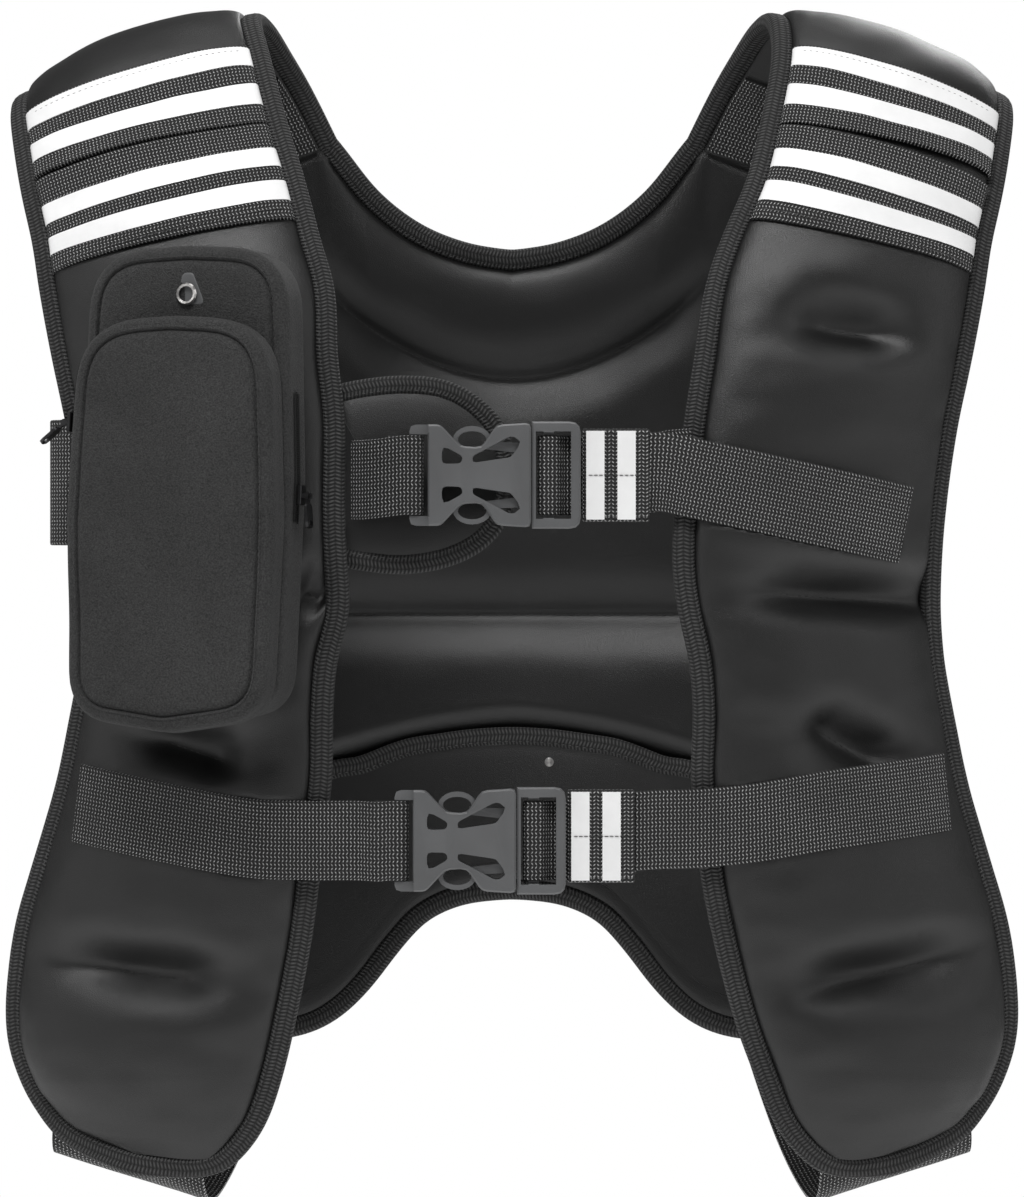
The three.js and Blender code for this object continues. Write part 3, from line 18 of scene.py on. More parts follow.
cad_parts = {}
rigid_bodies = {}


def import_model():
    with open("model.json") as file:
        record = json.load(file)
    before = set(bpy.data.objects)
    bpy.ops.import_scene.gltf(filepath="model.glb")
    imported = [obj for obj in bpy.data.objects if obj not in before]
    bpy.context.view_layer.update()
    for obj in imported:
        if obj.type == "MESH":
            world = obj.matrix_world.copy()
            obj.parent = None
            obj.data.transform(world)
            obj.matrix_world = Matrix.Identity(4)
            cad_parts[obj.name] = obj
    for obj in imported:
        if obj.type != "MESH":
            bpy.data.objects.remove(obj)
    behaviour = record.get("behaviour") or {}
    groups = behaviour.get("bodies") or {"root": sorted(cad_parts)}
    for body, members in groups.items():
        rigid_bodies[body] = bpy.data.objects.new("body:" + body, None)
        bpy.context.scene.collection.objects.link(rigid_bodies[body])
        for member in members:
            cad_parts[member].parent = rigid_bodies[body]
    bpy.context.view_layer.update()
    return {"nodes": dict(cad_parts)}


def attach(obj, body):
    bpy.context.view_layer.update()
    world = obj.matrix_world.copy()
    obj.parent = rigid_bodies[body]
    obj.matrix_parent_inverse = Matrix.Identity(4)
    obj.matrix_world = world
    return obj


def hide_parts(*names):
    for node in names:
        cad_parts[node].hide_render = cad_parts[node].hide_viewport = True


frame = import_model()
MM = 0.001
half_width = 233.0
drop = 508.0
chest = 105.0
rim_half = 3.2
puff_out = 12.5
puff_in = 7.5
panel_bow = 5.0
edge_power = 2.5
web_thick = 1.6
strap_width = 35.6
SIDES = ("left", "right")
SIGN = {"left": -1.0, "right": 1.0}
print("nodes in the frame:", len(frame["nodes"]))

# %% [markdown]
# ## Curves from short tables
# A table gives a few stations of a shape. A smooth curve through the stations is worked
# out with Hermite pieces, which pass through every row and never leave a corner. numpy
# does whole rows of points at once, so a fine grid costs little time.

# %% Smooth curves through tables


def blend(p1, m1, p2, m2, k):
    """The Hermite curve from p1 to p2 with slopes m1 and m2, at share k."""
    k2 = k * k
    k3 = k2 * k
    return (2 * k3 - 3 * k2 + 1) * p1 + (k3 - 2 * k2 + k) * m1 + (3 * k2 - 2 * k3) * p2 + (k3 - k2) * m2


def hermite(p0, p1, p2, p3, k, before, span, after):
    """A point at share k between p1 and p2, with slopes taken from their neighbours."""
    return blend(p1, (p2 - p0) / before * span, p2, (p3 - p1) / after * span, k)


def along(values, t):
    """A smooth value at row t of a list, where t need not be whole."""
    values = np.asarray(values, float)
    last = len(values) - 1
    t = np.clip(np.asarray(t, float), 0, last)
    i = np.minimum(np.floor(t).astype(int), last - 1)
    p0 = values[np.maximum(0, i - 1)]
    p3 = values[np.minimum(last, i + 2)]
    return hermite(p0, values[i], values[i + 1], p3, t - i, 2.0, 1.0, 2.0)


def table(stations, values, at):
    """A smooth value at a place among stations that lie at uneven steps."""
    stations = np.asarray(stations, float)
    values = np.asarray(values, float)
    last = len(stations) - 1
    at = np.asarray(at, float)
    i = np.clip(np.searchsorted(stations, at, side="left") - 1, 0, last - 1)
    span = stations[i + 1] - stations[i]
    k = np.clip((at - stations[i]) / span, 0, 1)
    lo = np.maximum(0, i - 1)
    hi = np.minimum(last, i + 2)
    before = stations[i + 1] - stations[lo]
    after = stations[hi] - stations[i]
    return hermite(values[lo], values[i], values[i + 1], values[hi], k, before, span, after)


def unit(a):
    a = np.asarray(a, float)
    return a / np.maximum(1e-9, np.linalg.norm(a, axis=-1, keepdims=True))


def smooth_line(points, count):
    """A smooth curve through a few points of a strap or an edge, at equal steps."""
    points = np.asarray(points, float)
    whole = np.vstack([2 * points[0] - points[1], points, 2 * points[-1] - points[-2]])
    dense = []
    for i in range(1, len(whole) - 2):
        x0, x1, x2, x3 = whole[i - 1], whole[i], whole[i + 1], whole[i + 2]
        d0 = max(1e-4, np.linalg.norm(x1 - x0) ** 0.5)
        d1 = max(1e-4, np.linalg.norm(x2 - x1) ** 0.5)
        d2 = max(1e-4, np.linalg.norm(x3 - x2) ** 0.5)
        m1 = ((x1 - x0) / d0 - (x2 - x0) / (d0 + d1) + (x2 - x1) / d1) * d1
        m2 = ((x2 - x1) / d1 - (x3 - x1) / (d1 + d2) + (x3 - x2) / d2) * d1
        for k in np.linspace(0, 1, 24, endpoint=False):
            dense.append(blend(x1, m1, x2, m2, k))
    dense.append(points[-1])
    return even_line(np.array(dense), count)


def length_along(points):
    """The distance from the first point to each point of a line."""
    steps = np.linalg.norm(np.diff(points, axis=0), axis=1)
    return np.concatenate([[0], np.cumsum(steps)])


def even_line(points, count):
    """The same line with its points at equal steps."""
    run = length_along(points)
    at = np.linspace(0, run[-1], count + 1)
    return np.stack([np.interp(at, run, points[:, k]) for k in range(3)], axis=1)


# %% [markdown]
# ## From grids of points to meshes
# Cloth is two grids, one for each face, joined round the rim. A strap or a binding is a
# ring of points swept along a line. Each mesh also gets a flat map in metres, along and
# across the cloth, so that a weave keeps its real size and follows every bend.

# %% Mesh makers


def make_mesh(name, points, faces, flat=None, crease=40.0):
    """A smooth-shaded mesh from points in mm; flat is its map along and across the cloth."""
    mesh = bpy.data.meshes.new(name)
    mesh.from_pydata((np.asarray(points, float) * MM).tolist(), [], faces)
    if flat is not None:
        layer = mesh.uv_layers.new(name="cloth")
        index = np.zeros(len(mesh.loops), int)
        mesh.loops.foreach_get("vertex_index", index)
        layer.data.foreach_set("uv", (np.asarray(flat, float)[index] * MM).ravel())
    mesh.polygons.foreach_set("use_smooth", np.ones(len(mesh.polygons), bool))
    mesh.update()
    mesh.set_sharp_from_angle(angle=math.radians(crease))
    obj = bpy.data.objects.new(name, mesh)
    bpy.context.scene.collection.objects.link(obj)
    return obj


def flat_of(grid):
    across = np.linalg.norm(np.diff(grid, axis=1), axis=2).mean(axis=0)
    down = np.linalg.norm(np.diff(grid, axis=0), axis=2).mean(axis=1)
    u = np.concatenate([[0], np.cumsum(across)])
    v = np.concatenate([[0], np.cumsum(down)])
    return np.stack(np.meshgrid(u, v), axis=-1)


def shell(name, front, back, crease=40.0):
    """A closed piece between two grids of points, joined round the rim."""
    rows, cols = front.shape[:2]
    other = rows * cols
    faces = []
    for i in range(rows - 1):
        for j in range(cols - 1):
            a = i * cols + j
            quad = (a, a + 1, a + 1 + cols, a + cols)
            faces.append(quad)
            faces.append(tuple(other + v for v in reversed(quad)))
    rim = list(range(cols - 1))
    rim += [i * cols + cols - 1 for i in range(rows - 1)]
    rim += [(rows - 1) * cols + j for j in range(cols - 1, 0, -1)]
    rim += [i * cols for i in range(rows - 1, 0, -1)]
    for n, a in enumerate(rim):
        b = rim[(n + 1) % len(rim)]
        faces.append((b, a, other + a, other + b))
    points = np.concatenate([front.reshape(-1, 3), back.reshape(-1, 3)])
    flat = flat_of(front).reshape(-1, 2)
    obj = make_mesh(name, points, faces, np.concatenate([flat, flat]), crease)
    turn_outward(obj)
    return obj


def turn_outward(obj):
    """Flip the faces if the signed volume says that they look inwards."""
    mesh = obj.data
    total = 0.0
    for face in mesh.polygons:
        corners = [mesh.vertices[v].co for v in face.vertices]
        for k in range(1, len(corners) - 1):
            total += corners[0].dot(corners[k].cross(corners[k + 1]))
    if total < 0:
        mesh.flip_normals()


def tube_faces(n, k, base=0):
    """Quads between n rings of k points each, and a cap on each end."""
    faces = []
    for i in range(n - 1):
        for j in range(k):
            a = base + i * k + j
            b = base + i * k + (j + 1) % k
            faces.append((a, b, b + k, a + k))
    faces.append(tuple(base + j for j in reversed(range(k))))
    faces.append(tuple(base + (n - 1) * k + j for j in range(k)))
    return faces


def sweep(name, rings, crease=50.0):
    """A closed tube through rings of points, with a cap on each end."""
    rings = np.asarray(rings, float)
    n, k = rings.shape[:2]
    seam = np.concatenate([rings, rings[:, :1]], axis=1)
    run = length_along(rings.mean(axis=1))
    girth = length_along(seam[n // 2])
    flats = []
    for i in range(n - 1):
        for j in range(k):
            flats.append(((run[i], girth[j]), (run[i], girth[j + 1]),
                          (run[i + 1], girth[j + 1]), (run[i + 1], girth[j])))
    flats.append(tuple((0.0, girth[j]) for j in reversed(range(k))))
    flats.append(tuple((run[-1], girth[j]) for j in range(k)))
    obj = make_mesh(name, rings.reshape(-1, 3), tube_faces(n, k), None, crease)
    layer = obj.data.uv_layers.new(name="cloth")
    corners = np.array([uv for face in flats for uv in face])
    layer.data.foreach_set("uv", (corners * MM).ravel())
    turn_outward(obj)
    return obj


def ribbon(name, line, ups, width, thick, edge=0.5):
    """Flat webbing: a line of middle points, the direction across it, its width and thickness."""
    line = np.asarray(line, float)
    ups = unit(np.broadcast_to(np.asarray(ups, float), line.shape))
    run = unit(np.gradient(line, axis=0))
    normal = unit(np.cross(run, ups))
    half = width / 2
    h = thick / 2
    flat_half = half - edge * 2
    turn_half = half - edge * 0.6
    profile = [(-flat_half, h), (-turn_half, h * 0.8), (-half, 0), (-turn_half, -h * 0.8)]
    profile += [(v, -h) for v in np.linspace(-flat_half, flat_half, 9)]
    profile += [(turn_half, -h * 0.8), (half, 0), (turn_half, h * 0.8)]
    profile += [(v, h) for v in np.linspace(flat_half, -flat_half, 9)[:-1]]
    rings = np.stack([line + ups * v + normal * s for v, s in profile], axis=1)
    return sweep(name, rings)


def noise_of(points, scale, seed=0.0):
    """A slow, repeatable unevenness between about -1 and 1 at each point."""
    flat = np.asarray(points).reshape(-1, 3)
    out = [noise.noise(Vector((p[0] * scale, p[1] * scale, p[2] * scale + seed))) for p in flat]
    return np.array(out).reshape(np.asarray(points).shape[:-1])


print("mesh makers ready")

# %% [markdown]
# ## The form of a front panel
# A panel is a fabric shell filled with small weights. Its middle surface runs from the
# bottom tip up the front and over the shoulder; the filling stands off it on both sides,
# thins out to the bound edges and is pinched where a few short tucks are stitched
# through. The stations are shares of the half width, the chest depth and the drop.

# %% Stations of the front panels
panel_rows = np.array([
    # inX, left, inY, inZ, outX, outY, outZ, puff
    [0.622, 0.584, -0.762, -0.976, 0.732, -0.686, -0.977, 0.12],
    [0.584, 0.549, -0.79, -0.961, 0.852, -0.562, -0.953, 0.45],
    [0.545, 0.513, -0.819, -0.937, 0.899, -0.505, -0.931, 0.75],
    [0.509, 0.483, -0.857, -0.896, 0.933, -0.476, -0.906, 0.93],
    [0.469, 0.457, -0.895, -0.846, 0.959, -0.467, -0.86, 1.0],
    [0.429, 0.427, -0.933, -0.776, 0.944, -0.486, -0.783, 1.0],
    [0.403, 0.41, -0.962, -0.715, 0.906, -0.505, -0.72, 0.97],
    [0.386, 0.388, -0.981, -0.638, 0.86, -0.524, -0.648, 0.97],
    [0.39, 0.386, -0.99, -0.581, 0.833, -0.552, -0.589, 0.97],
    [0.382, 0.378, -1.0, -0.531, 0.811, -0.571, -0.535, 0.98],
    [0.361, 0.354, -1.0, -0.488, 0.803, -0.581, -0.486, 0.98],
    [0.35, 0.358, -1.0, -0.449, 0.805, -0.59, -0.443, 1.0],
    [0.354, 0.363, -0.99, -0.4, 0.813, -0.6, -0.394, 1.0],
    [0.373, 0.363, -0.943, -0.321, 0.833, -0.619, -0.325, 0.98],
    [0.394, 0.378, -0.886, -0.264, 0.863, -0.61, -0.258, 0.95],
    [0.414, 0.384, -0.8, -0.205, 0.888, -0.571, -0.197, 0.85],
    [0.446, 0.412, -0.714, -0.161, 0.903, -0.514, -0.154, 0.72],
    [0.498, 0.444, -0.59, -0.106, 0.927, -0.419, -0.11, 0.62],
    [0.528, 0.481, -0.448, -0.052, 0.946, -0.295, -0.068, 0.57],
    [0.554, 0.517, -0.257, 0.01, 0.959, -0.152, -0.029, 0.55],
    [0.549, 0.541, -0.029, 0.05, 0.949, 0.0, -0.015, 0.55],
    [0.517, 0.515, 0.133, 0.044, 0.929, 0.124, -0.026, 0.52],
    [0.481, 0.481, 0.276, 0.019, 0.912, 0.219, -0.056, 0.48],
    [0.442, 0.442, 0.4, -0.011, 0.897, 0.305, -0.094, 0.4],
    [0.391, 0.391, 0.514, -0.058, 0.876, 0.381, -0.142, 0.3],
])
inX = {"right": panel_rows[:, 0], "left": panel_rows[:, 1]}
inY, inZ, outX, outY, outZ, puffs = panel_rows[:, 2:].T
panel_end = len(panel_rows) - 1.0

# the wide dimple round each tuck: x, z, half its width, its height and its depth, as shares
tucks = [
    (0.644, -0.244, 0.14, 0.022, 0.62),
    (0.63, -0.362, 0.13, 0.03, 0.3),
    (0.61, -0.478, 0.19, 0.018, 0.5),
    (0.63, -0.607, 0.15, 0.026, 0.5),
    (0.7, -0.815, 0.17, 0.026, 0.62),
]
# the ends of each stitched line, x and z in mm
stitched = {
    "right": [(135, -118.5, 166, -124.5), (119, -240, 180, -245),
              (136, -300, 162, -318), (140, -419, 195, -406)],
    "left": [(-157, -307, -127, -317), (-192, -410, -140, -416), (-94, -239, -85, -243)],
}
stitch_groove = (2.0, 5.0)  # depth and half width in mm of the groove at the stitches
stitch_hollow = (8.2, 11.5)  # the same of the wide hollow over them
hollow_rise = 4.5  # how far the hollow lies above the stitches
shoulder_rows = 6  # the last rows, behind the shoulder, have no tucks
print("stations:", len(panel_rows), "tucks:", len(tucks))

# %% [markdown]
# The middle surface is a straight line from inner to outer edge at each station, bowed a
# little outwards. The filling's height is the table's share, rounded off at the edges,
# less the dimples. Only the outer face gets the grooves of the stitched tucks.

# %% Surfaces of a front panel


def panel_mid(side, t, u):
    """The middle surface: t runs from the foot over the shoulder, u from the neck to the arm."""
    t = np.asarray(t, float)
    u = np.asarray(u, float)[..., None]
    a = np.stack([along(inX[side], t) * half_width, along(inY, t) * chest, along(inZ, t) * drop], axis=-1)
    b = np.stack([along(outX, t) * half_width, along(outY, t) * chest, along(outZ, t) * drop], axis=-1)
    before = np.maximum(0, t - 0.5)
    after = np.minimum(panel_end, t + 0.5)
    rise = np.stack([np.zeros_like(t), (along(inY, after) - along(inY, before)) * chest,
                     (along(inZ, after) - along(inZ, before)) * drop], axis=-1)
    out = unit(np.cross(b - a, rise))
    bow = panel_bow * 4 * u * (1 - u) * np.clip(t[..., None] / 3, 0, 1)
    p = a + (b - a) * u + out * bow
    if side == "left":
        p = p * np.array([-1.0, 1.0, 1.0])
    return p


def panel_normal(side, t, u):
    step = 0.02
    du = panel_mid(side, t, u + step) - panel_mid(side, t, u - step)
    above = panel_mid(side, np.clip(t + step, 0, panel_end), u)
    below = panel_mid(side, np.clip(t - step, 0, panel_end), u)
    dt = above - below
    n = unit(np.cross(du, dt))
    return -n if side == "left" else n


def panel_puff(t, u, p):
    across = np.abs(2 * np.clip(u, 0, 1) - 1)
    edge = np.sqrt(np.maximum(0, 1 - across ** edge_power))
    end = np.sqrt(np.clip(1 - np.clip(t - (panel_end - 1), 0, 1) ** 4, 0, 1))
    share = along(puffs, t) * edge * end
    low = t < panel_end - shoulder_rows
    for x, z, half, tall, deep in tucks:
        dx = (np.abs(p[..., 0]) / half_width - x) / half
        dz = (p[..., 2] / drop - z) / tall
        share = share * np.where(low, 1 - deep * np.exp(-dx * dx - dz * dz), 1)
    return share


def stitch_pinch(side, p):
    """How far the stitched lines pull the outer face in, in mm."""
    depth = np.zeros(p.shape[:-1])
    for x0, z0, x1, z1 in stitched[side]:
        a = np.array([x0, z0])
        d = np.array([x1 - x0, z1 - z0])
        size = np.linalg.norm(d)
        rel = p[..., [0, 2]] - a
        k = np.clip((rel @ d) / size ** 2, -0.9, 1.9)
        near = np.linalg.norm(rel - k[..., None] * d, axis=-1)
        fade = np.exp(-(np.maximum(0, np.abs(k - 0.5) - 0.3) / 0.42) ** 2)
        # the filling above the stitches hangs over them, so the hollow lies a little higher
        above = np.linalg.norm(rel - k[..., None] * d - np.array([0, hollow_rise]), axis=-1)
        depth += fade * (stitch_groove[0] * np.exp(-(near / stitch_groove[1]) ** 2)
                         + stitch_hollow[0] * np.exp(-(above / stitch_hollow[1]) ** 2))
    return depth


def panel_face(side, t, u, face, lift=0.0, fine=True):
    """The outer (1) or inner (-1) face; lift lays a piece on it, fine adds the cloth's waves."""
    t, u = np.broadcast_arrays(np.asarray(t, float), np.asarray(u, float))
    p = panel_mid(side, t, u)
    n = panel_normal(side, t, u)
    full = puff_out if face > 0 else puff_in
    h = rim_half + full * panel_puff(t, u, p) + lift
    if fine:
        soft = np.minimum(1, np.minimum(u, 1 - u) / 0.12).clip(0, 1)
        h = h + soft * (1.5 * noise_of(p, 0.016, 3.1) + 0.7 * noise_of(p * [1, 1, 1.7], 0.045, 8.7))
        edge = np.exp(-np.minimum(u, 1 - u) / 0.07) * (1 - np.exp(-np.minimum(u, 1 - u) / 0.012))
        h = h + edge * 0.9 * noise_of(p, 0.085, 5.5)
        if face > 0:
            h = h - stitch_pinch(side, p) * (t < panel_end - shoulder_rows)
    return p + n * (face * h)[..., None]


def column_at(cols):
    """Shares across a panel, closer together near both edges."""
    j = np.arange(cols + 1)
    return 0.4 * (j / cols) + 0.6 * (0.5 - 0.5 * np.cos(np.pi * j / cols))


panel_t = np.linspace(0, panel_end, 400)
panel_u = column_at(64)
tt, uu = np.meshgrid(panel_t, panel_u, indexing="ij")
panel_outer = {side: panel_face(side, tt, uu, 1) for side in SIDES}
panel_inner = {side: panel_face(side, tt, uu, -1) for side in SIDES}
print("panel points a side:", panel_outer["left"].shape)

# %% [markdown]
# ## The form of the back
# The back follows an oval from side to side and bends in at the waist. Two seams pinch
# its filling: a curved one under the neck and a straight one across the middle. Below
# them a separate flap, bound along its arched top, lies on the inside.

# %% Stations of the back panel
bottom = np.array([[0, 0, -0.741], [0.13, 0.109, -0.747], [0.26, 0.2, -0.766], [0.34, 0.26, -0.795],
                   [0.42, 0.319, -0.83], [0.5, 0.373, -0.854], [0.58, 0.428, -0.867], [0.68, 0.506, -0.872],
                   [0.8, 0.614, -0.867], [0.92, 0.724, -0.846], [1, 0.811, -0.789]])
top = np.array([[0, 0, -0.169], [0.13, 0.103, -0.161], [0.26, 0.206, -0.142], [0.39, 0.303, -0.108],
                [0.5, 0.391, -0.058], [0.505, 0.396, -0.06], [0.63, 0.512, -0.082], [0.76, 0.634, -0.103],
                [0.88, 0.76, -0.124], [1, 0.876, -0.143]])
arm = np.array([[0, 0.811, -0.789], [0.09, 0.82, -0.738], [0.24, 0.79, -0.64], [0.38, 0.742, -0.551],
                [0.52, 0.704, -0.463], [0.64, 0.691, -0.384], [0.76, 0.712, -0.305], [0.87, 0.764, -0.232],
                [0.95, 0.828, -0.177], [1, 0.876, -0.143]])
depth = np.array([[0, 44], [0.058, 58], [0.142, 69], [0.256, 83],
                  [0.4, 90], [0.6, 89], [0.76, 82], [0.9, 73]])
back_round = 250.0
back_in = 10.5
back_out = 8.0
seam_one = (-0.271, 0.075, 0.365)
seam_two = -0.492
seam_width = 15.0
flap_top = -0.615
flap_thick = 4.0
flap_side = 0.93
arch_fall = 0.075  # how far the flap's arch falls to the sides, as a share of the drop
arch_reach = 0.62
arch_power = 1.6
horn_from = 0.47
horn_extra = 0.016
print("stations of the back:", len(bottom), len(top), len(arm), len(depth))

# %% [markdown]
# The back is spread between its lower and upper edge, and its sides are drawn to the arm
# edge. The two seams are valleys in the filling, and inside, below the arch, the back is
# thin, so that the flap lies flush on it.

# %% Surfaces of the back


def back_y(x, z):
    oval = np.sqrt(np.maximum(0.05, 1 - (x / back_round) ** 2))
    return table(depth[:, 0], depth[:, 1], -z / drop) * oval


def back_mid(u, v):
    u, v = np.broadcast_arrays(np.asarray(u, float), np.asarray(v, float))
    w = np.abs(u)
    low = [table(bottom[:, 0], bottom[:, k], w) for k in (1, 2)]
    high = [table(top[:, 0], top[:, k], w) for k in (1, 2)]
    side = [table(arm[:, 0], arm[:, k], v) for k in (1, 2)]
    ends = [bottom[-1, k] + (top[-1, k] - bottom[-1, k]) * v for k in (1, 2)]
    x = low[0] + (high[0] - low[0]) * v + w * w * (side[0] - ends[0])
    z = low[1] + (high[1] - low[1]) * v + w * w * (side[1] - ends[1])
    px = np.where(u < 0, -1.0, 1.0) * x * half_width
    return np.stack([px, back_y(px, z * drop), z * drop], axis=-1)


def back_normal(u, v):
    p = back_mid(u, v)
    x, z = p[..., 0], p[..., 2]
    dx = (back_y(x + 2, z) - back_y(x - 2, z)) / 4
    dz = (back_y(x, z + 2) - back_y(x, z - 2)) / 4
    return unit(np.stack([-dx, np.ones_like(dx), -dz], axis=-1))


def seam_height(x):
    return (seam_one[0] + seam_one[1] * (x / half_width / seam_one[2]) ** 2) * drop


def back_puff(u, v, p):
    edge = np.sqrt(np.maximum(0, 1 - np.abs(np.clip(u, -1, 1)) ** 7))
    ends = np.sqrt(np.maximum(0, 1 - np.abs(2 * np.clip(v, 0, 1) - 1) ** 8))
    one = p[..., 2] - seam_height(p[..., 0])
    two = p[..., 2] - seam_two * drop
    pinch = 1.0
    for d in (one, two):
        pinch = pinch * (1 - 0.76 * np.exp(-(d / seam_width) ** 2) - 0.22 * np.exp(-(d / 4.5) ** 2))
    horn = np.clip((p[..., 2] / drop + 0.26) / 0.12, 0, 1)
    horn = horn * np.clip((np.abs(p[..., 0]) / half_width - 0.3) / 0.1, 0, 1)
    return edge * ends * pinch * (1 - 0.55 * horn)


def arch_height(x):
    """The height of the flap's arched top at x, in mm."""
    share = np.clip(np.abs(x) / half_width / arch_reach, 0, 1)
    return (flap_top - arch_fall * share ** arch_power) * drop


def back_face(u, v, face, lift=0.0, fine=True):
    u, v = np.broadcast_arrays(np.asarray(u, float), np.asarray(v, float))
    p = back_mid(u, v)
    n = back_normal(u, v)
    low = np.clip((arch_height(p[..., 0]) + 20 - p[..., 2]) / 18, 0, 1)
    low = low * low * (3 - 2 * low)
    full = back_out if face > 0 else back_in + 1.5 + (2.5 - back_in - 1.5) * low
    h = rim_half + full * back_puff(u, v, p) + lift
    if fine:
        calm = np.minimum(1, np.minimum(1 - np.abs(u), np.minimum(v, 1 - v) * 2) / 0.1).clip(0, 1)
        calm = calm * (1 - 0.8 * low)
        h = h + calm * (1.6 * noise_of(p, 0.014, 1.7) + 0.6 * noise_of(p, 0.04, 9.2))
    return p + n * (face * h)[..., None]


back_u = np.linspace(-1, 1, 201)
back_v = np.linspace(0, 1, 201)
vv, uu2 = np.meshgrid(back_v, back_u, indexing="ij")
# the shoulder ends of the back reach up to the ends of the front panels
vv = vv * (1 + horn_extra * np.clip((np.abs(uu2) - horn_from) / 0.04, 0, 1))
back_outer = back_face(uu2, vv, 1)
back_inner = back_face(uu2, vv, -1)
print("back points:", back_outer.shape)


def arch_share(u):
    """The share of the height at which the flap's arched top lies."""
    out = []
    for w in np.abs(np.atleast_1d(u)):
        v = np.linspace(0, 0.6, 400)
        p = back_mid(w, v)
        out.append(v[np.argmin(np.abs(p[:, 2] - arch_height(p[:, 0])))])
    return np.array(out)


def flap_point(u, v, lift):
    """A point on the flap; lift is measured inwards from its inner face."""
    bulge = 5.6 * np.sqrt(np.maximum(0, 1 - np.abs(u / 1.02) ** 6))
    return back_mid(u, v) - back_normal(u, v) * (rim_half + bulge + flap_thick + lift)[..., None]


# %% [markdown]
# ## Straps laid on the padding
# A closing strap is pulled taut, so it bridges the hollows and rests on the crowns. Rays
# shot at the padded face give its height along the strap, and the part of their hull that
# faces forward is the taut line. The padding is then pressed back where the strap lies.

# %% Taut lines over a panel


def tree_of(grid):
    """A grid of points made ready for shooting rays at it."""
    rows, cols = grid.shape[:2]
    index = np.arange(rows * cols).reshape(rows, cols)
    quads = np.stack([index[:-1, :-1], index[:-1, 1:], index[1:, 1:], index[1:, :-1]], axis=-1)
    return BVHTree.FromPolygons(grid.reshape(-1, 3).tolist(), quads.reshape(-1, 4).tolist())


def tree_of_mesh(obj):
    """The same for a finished piece, in mm."""
    points = [tuple(v.co / MM) for v in obj.data.vertices]
    return BVHTree.FromPolygons(points, [tuple(f.vertices) for f in obj.data.polygons])


trees = {side: tree_of(panel_outer[side]) for side in SIDES}


def face_y(tree, x, z):
    """The depth at which a ray from the front meets the face, or None."""
    hit = tree.ray_cast(Vector((x, -400.0, z)), Vector((0.0, 1.0, 0.0)))
    return None if hit[0] is None else hit[0].y


def face_line(tree, xs, zs):
    """The points of a line in the front view, laid on the face behind it."""
    line = []
    for x, z in zip(xs, zs):
        y = face_y(tree, x, z)
        if y is not None:
            line.append((x, y, z))
    return line


def taut(points):
    """The line of a band pulled tight over points x, y: the side of their hull in front."""
    hull = []
    for p in sorted(points):
        while len(hull) > 1:
            a, b = hull[-2], hull[-1]
            if (b[0] - a[0]) * (p[1] - a[1]) - (b[1] - a[1]) * (p[0] - a[0]) > 0:
                break
            hull.pop()
        hull.append(p)
    xs, ys = np.array(hull).T
    return lambda x: float(np.interp(x, xs, ys))


def over_panel(side, start, stop, height_at, extra):
    """The taut line of a strap over a panel, from rays across the strap's width."""
    points = list(extra)
    for x in np.linspace(start, stop, 60):
        hits = [face_y(trees[side], SIGN[side] * x, height_at(x) + dz) for dz in (-16, -8, 0, 8, 16)]
        hits = [y for y in hits if y is not None]
        if hits:
            points.append((x, min(hits)))
    return taut(points)


upper_buckle = np.array([8.5, -114.0, -187.0])
lower_buckle = np.array([1.8, -113.0, -351.0])
# the way of the webbing round a bar of the buckle: mm to the right of its middle, mm forward
socket_loop = [(-57, 2.4), (-53, 2.9), (-50.2, 2.2), (-48.9, 0),
               (-50.2, -2.2), (-53, -2.9), (-58, -2.6), (-64, -2.2)]
plug_loop = [(30, -2.3), (18, -2.3), (14.6, -1.6), (12.4, 0.6), (10.6, 2.3), (8, 2.6), (5.4, 2.3), (4, 0.6),
             (3.9, -1.6), (5.4, -3.9), (8.6, -4.5), (18, -4.5), (30, -4.5)]


def on_buckle(place, rows):
    return [(place[0] + a, place[1] - b, place[2]) for a, b in rows]


def tail_z(x):
    return -184.5 - 24.5 * min(1, max(0, (x - 64) / 114))


pressed = 0.9
binding_face = -0.99 * chest - 4.1
rim_x = 0.36 * half_width
upper_rest = over_panel("right", rim_x, 182, tail_z,
                        [(66, binding_face - 3.6), (rim_x, binding_face - 4.1)])
tail = [(x, upper_rest(x) - web_thick / 2 + pressed - 0.4, tail_z(x)) for x in range(178, 69, -9)]
loop = on_buckle(upper_buckle, plug_loop)
under = [(62, -109.9, -186), (72, -110.4, -184.4), (82, -110.4, -183.6)]
upper_right = np.vstack([
    smooth_line(tail + [(63, -112, -185.4)] + loop[:2], 70)[:-1],
    smooth_line(loop[1:-1], 60)[:-1],
    smooth_line(loop[-2:] + under, 28),
])
upper_left = smooth_line([(-71.8, -104.5, -189), (-68, -108, -189), (-60, -113.5, -188.4)]
                         + on_buckle(upper_buckle, socket_loop), 90)


def lower_line(side):
    rows = {
        "left": [(30, -351.6), (72, -351), (92, -351), (118, -350), (157, -343.3), (206, -333.5)],
        "right": [(24, -350.5), (59, -346.5), (85, -345.5), (110, -343),
                  (140, -338), (170, -334), (206, -329)],
    }[side]
    xs, zs = zip(*rows)
    height_at = lambda x: float(table(xs, zs, x))
    start = 62 if side == "left" else 58
    face = -0.97 * chest - 4.1 - 0.3
    rest = over_panel(side, rim_x, 199.5, height_at, [(start - 6, face - 5), (rim_x - 4, face - 0.6)])
    return [(SIGN[side] * x, rest(x) - web_thick / 2 + pressed, height_at(x))
            for x in np.linspace(197.5, start + 6, 40)]


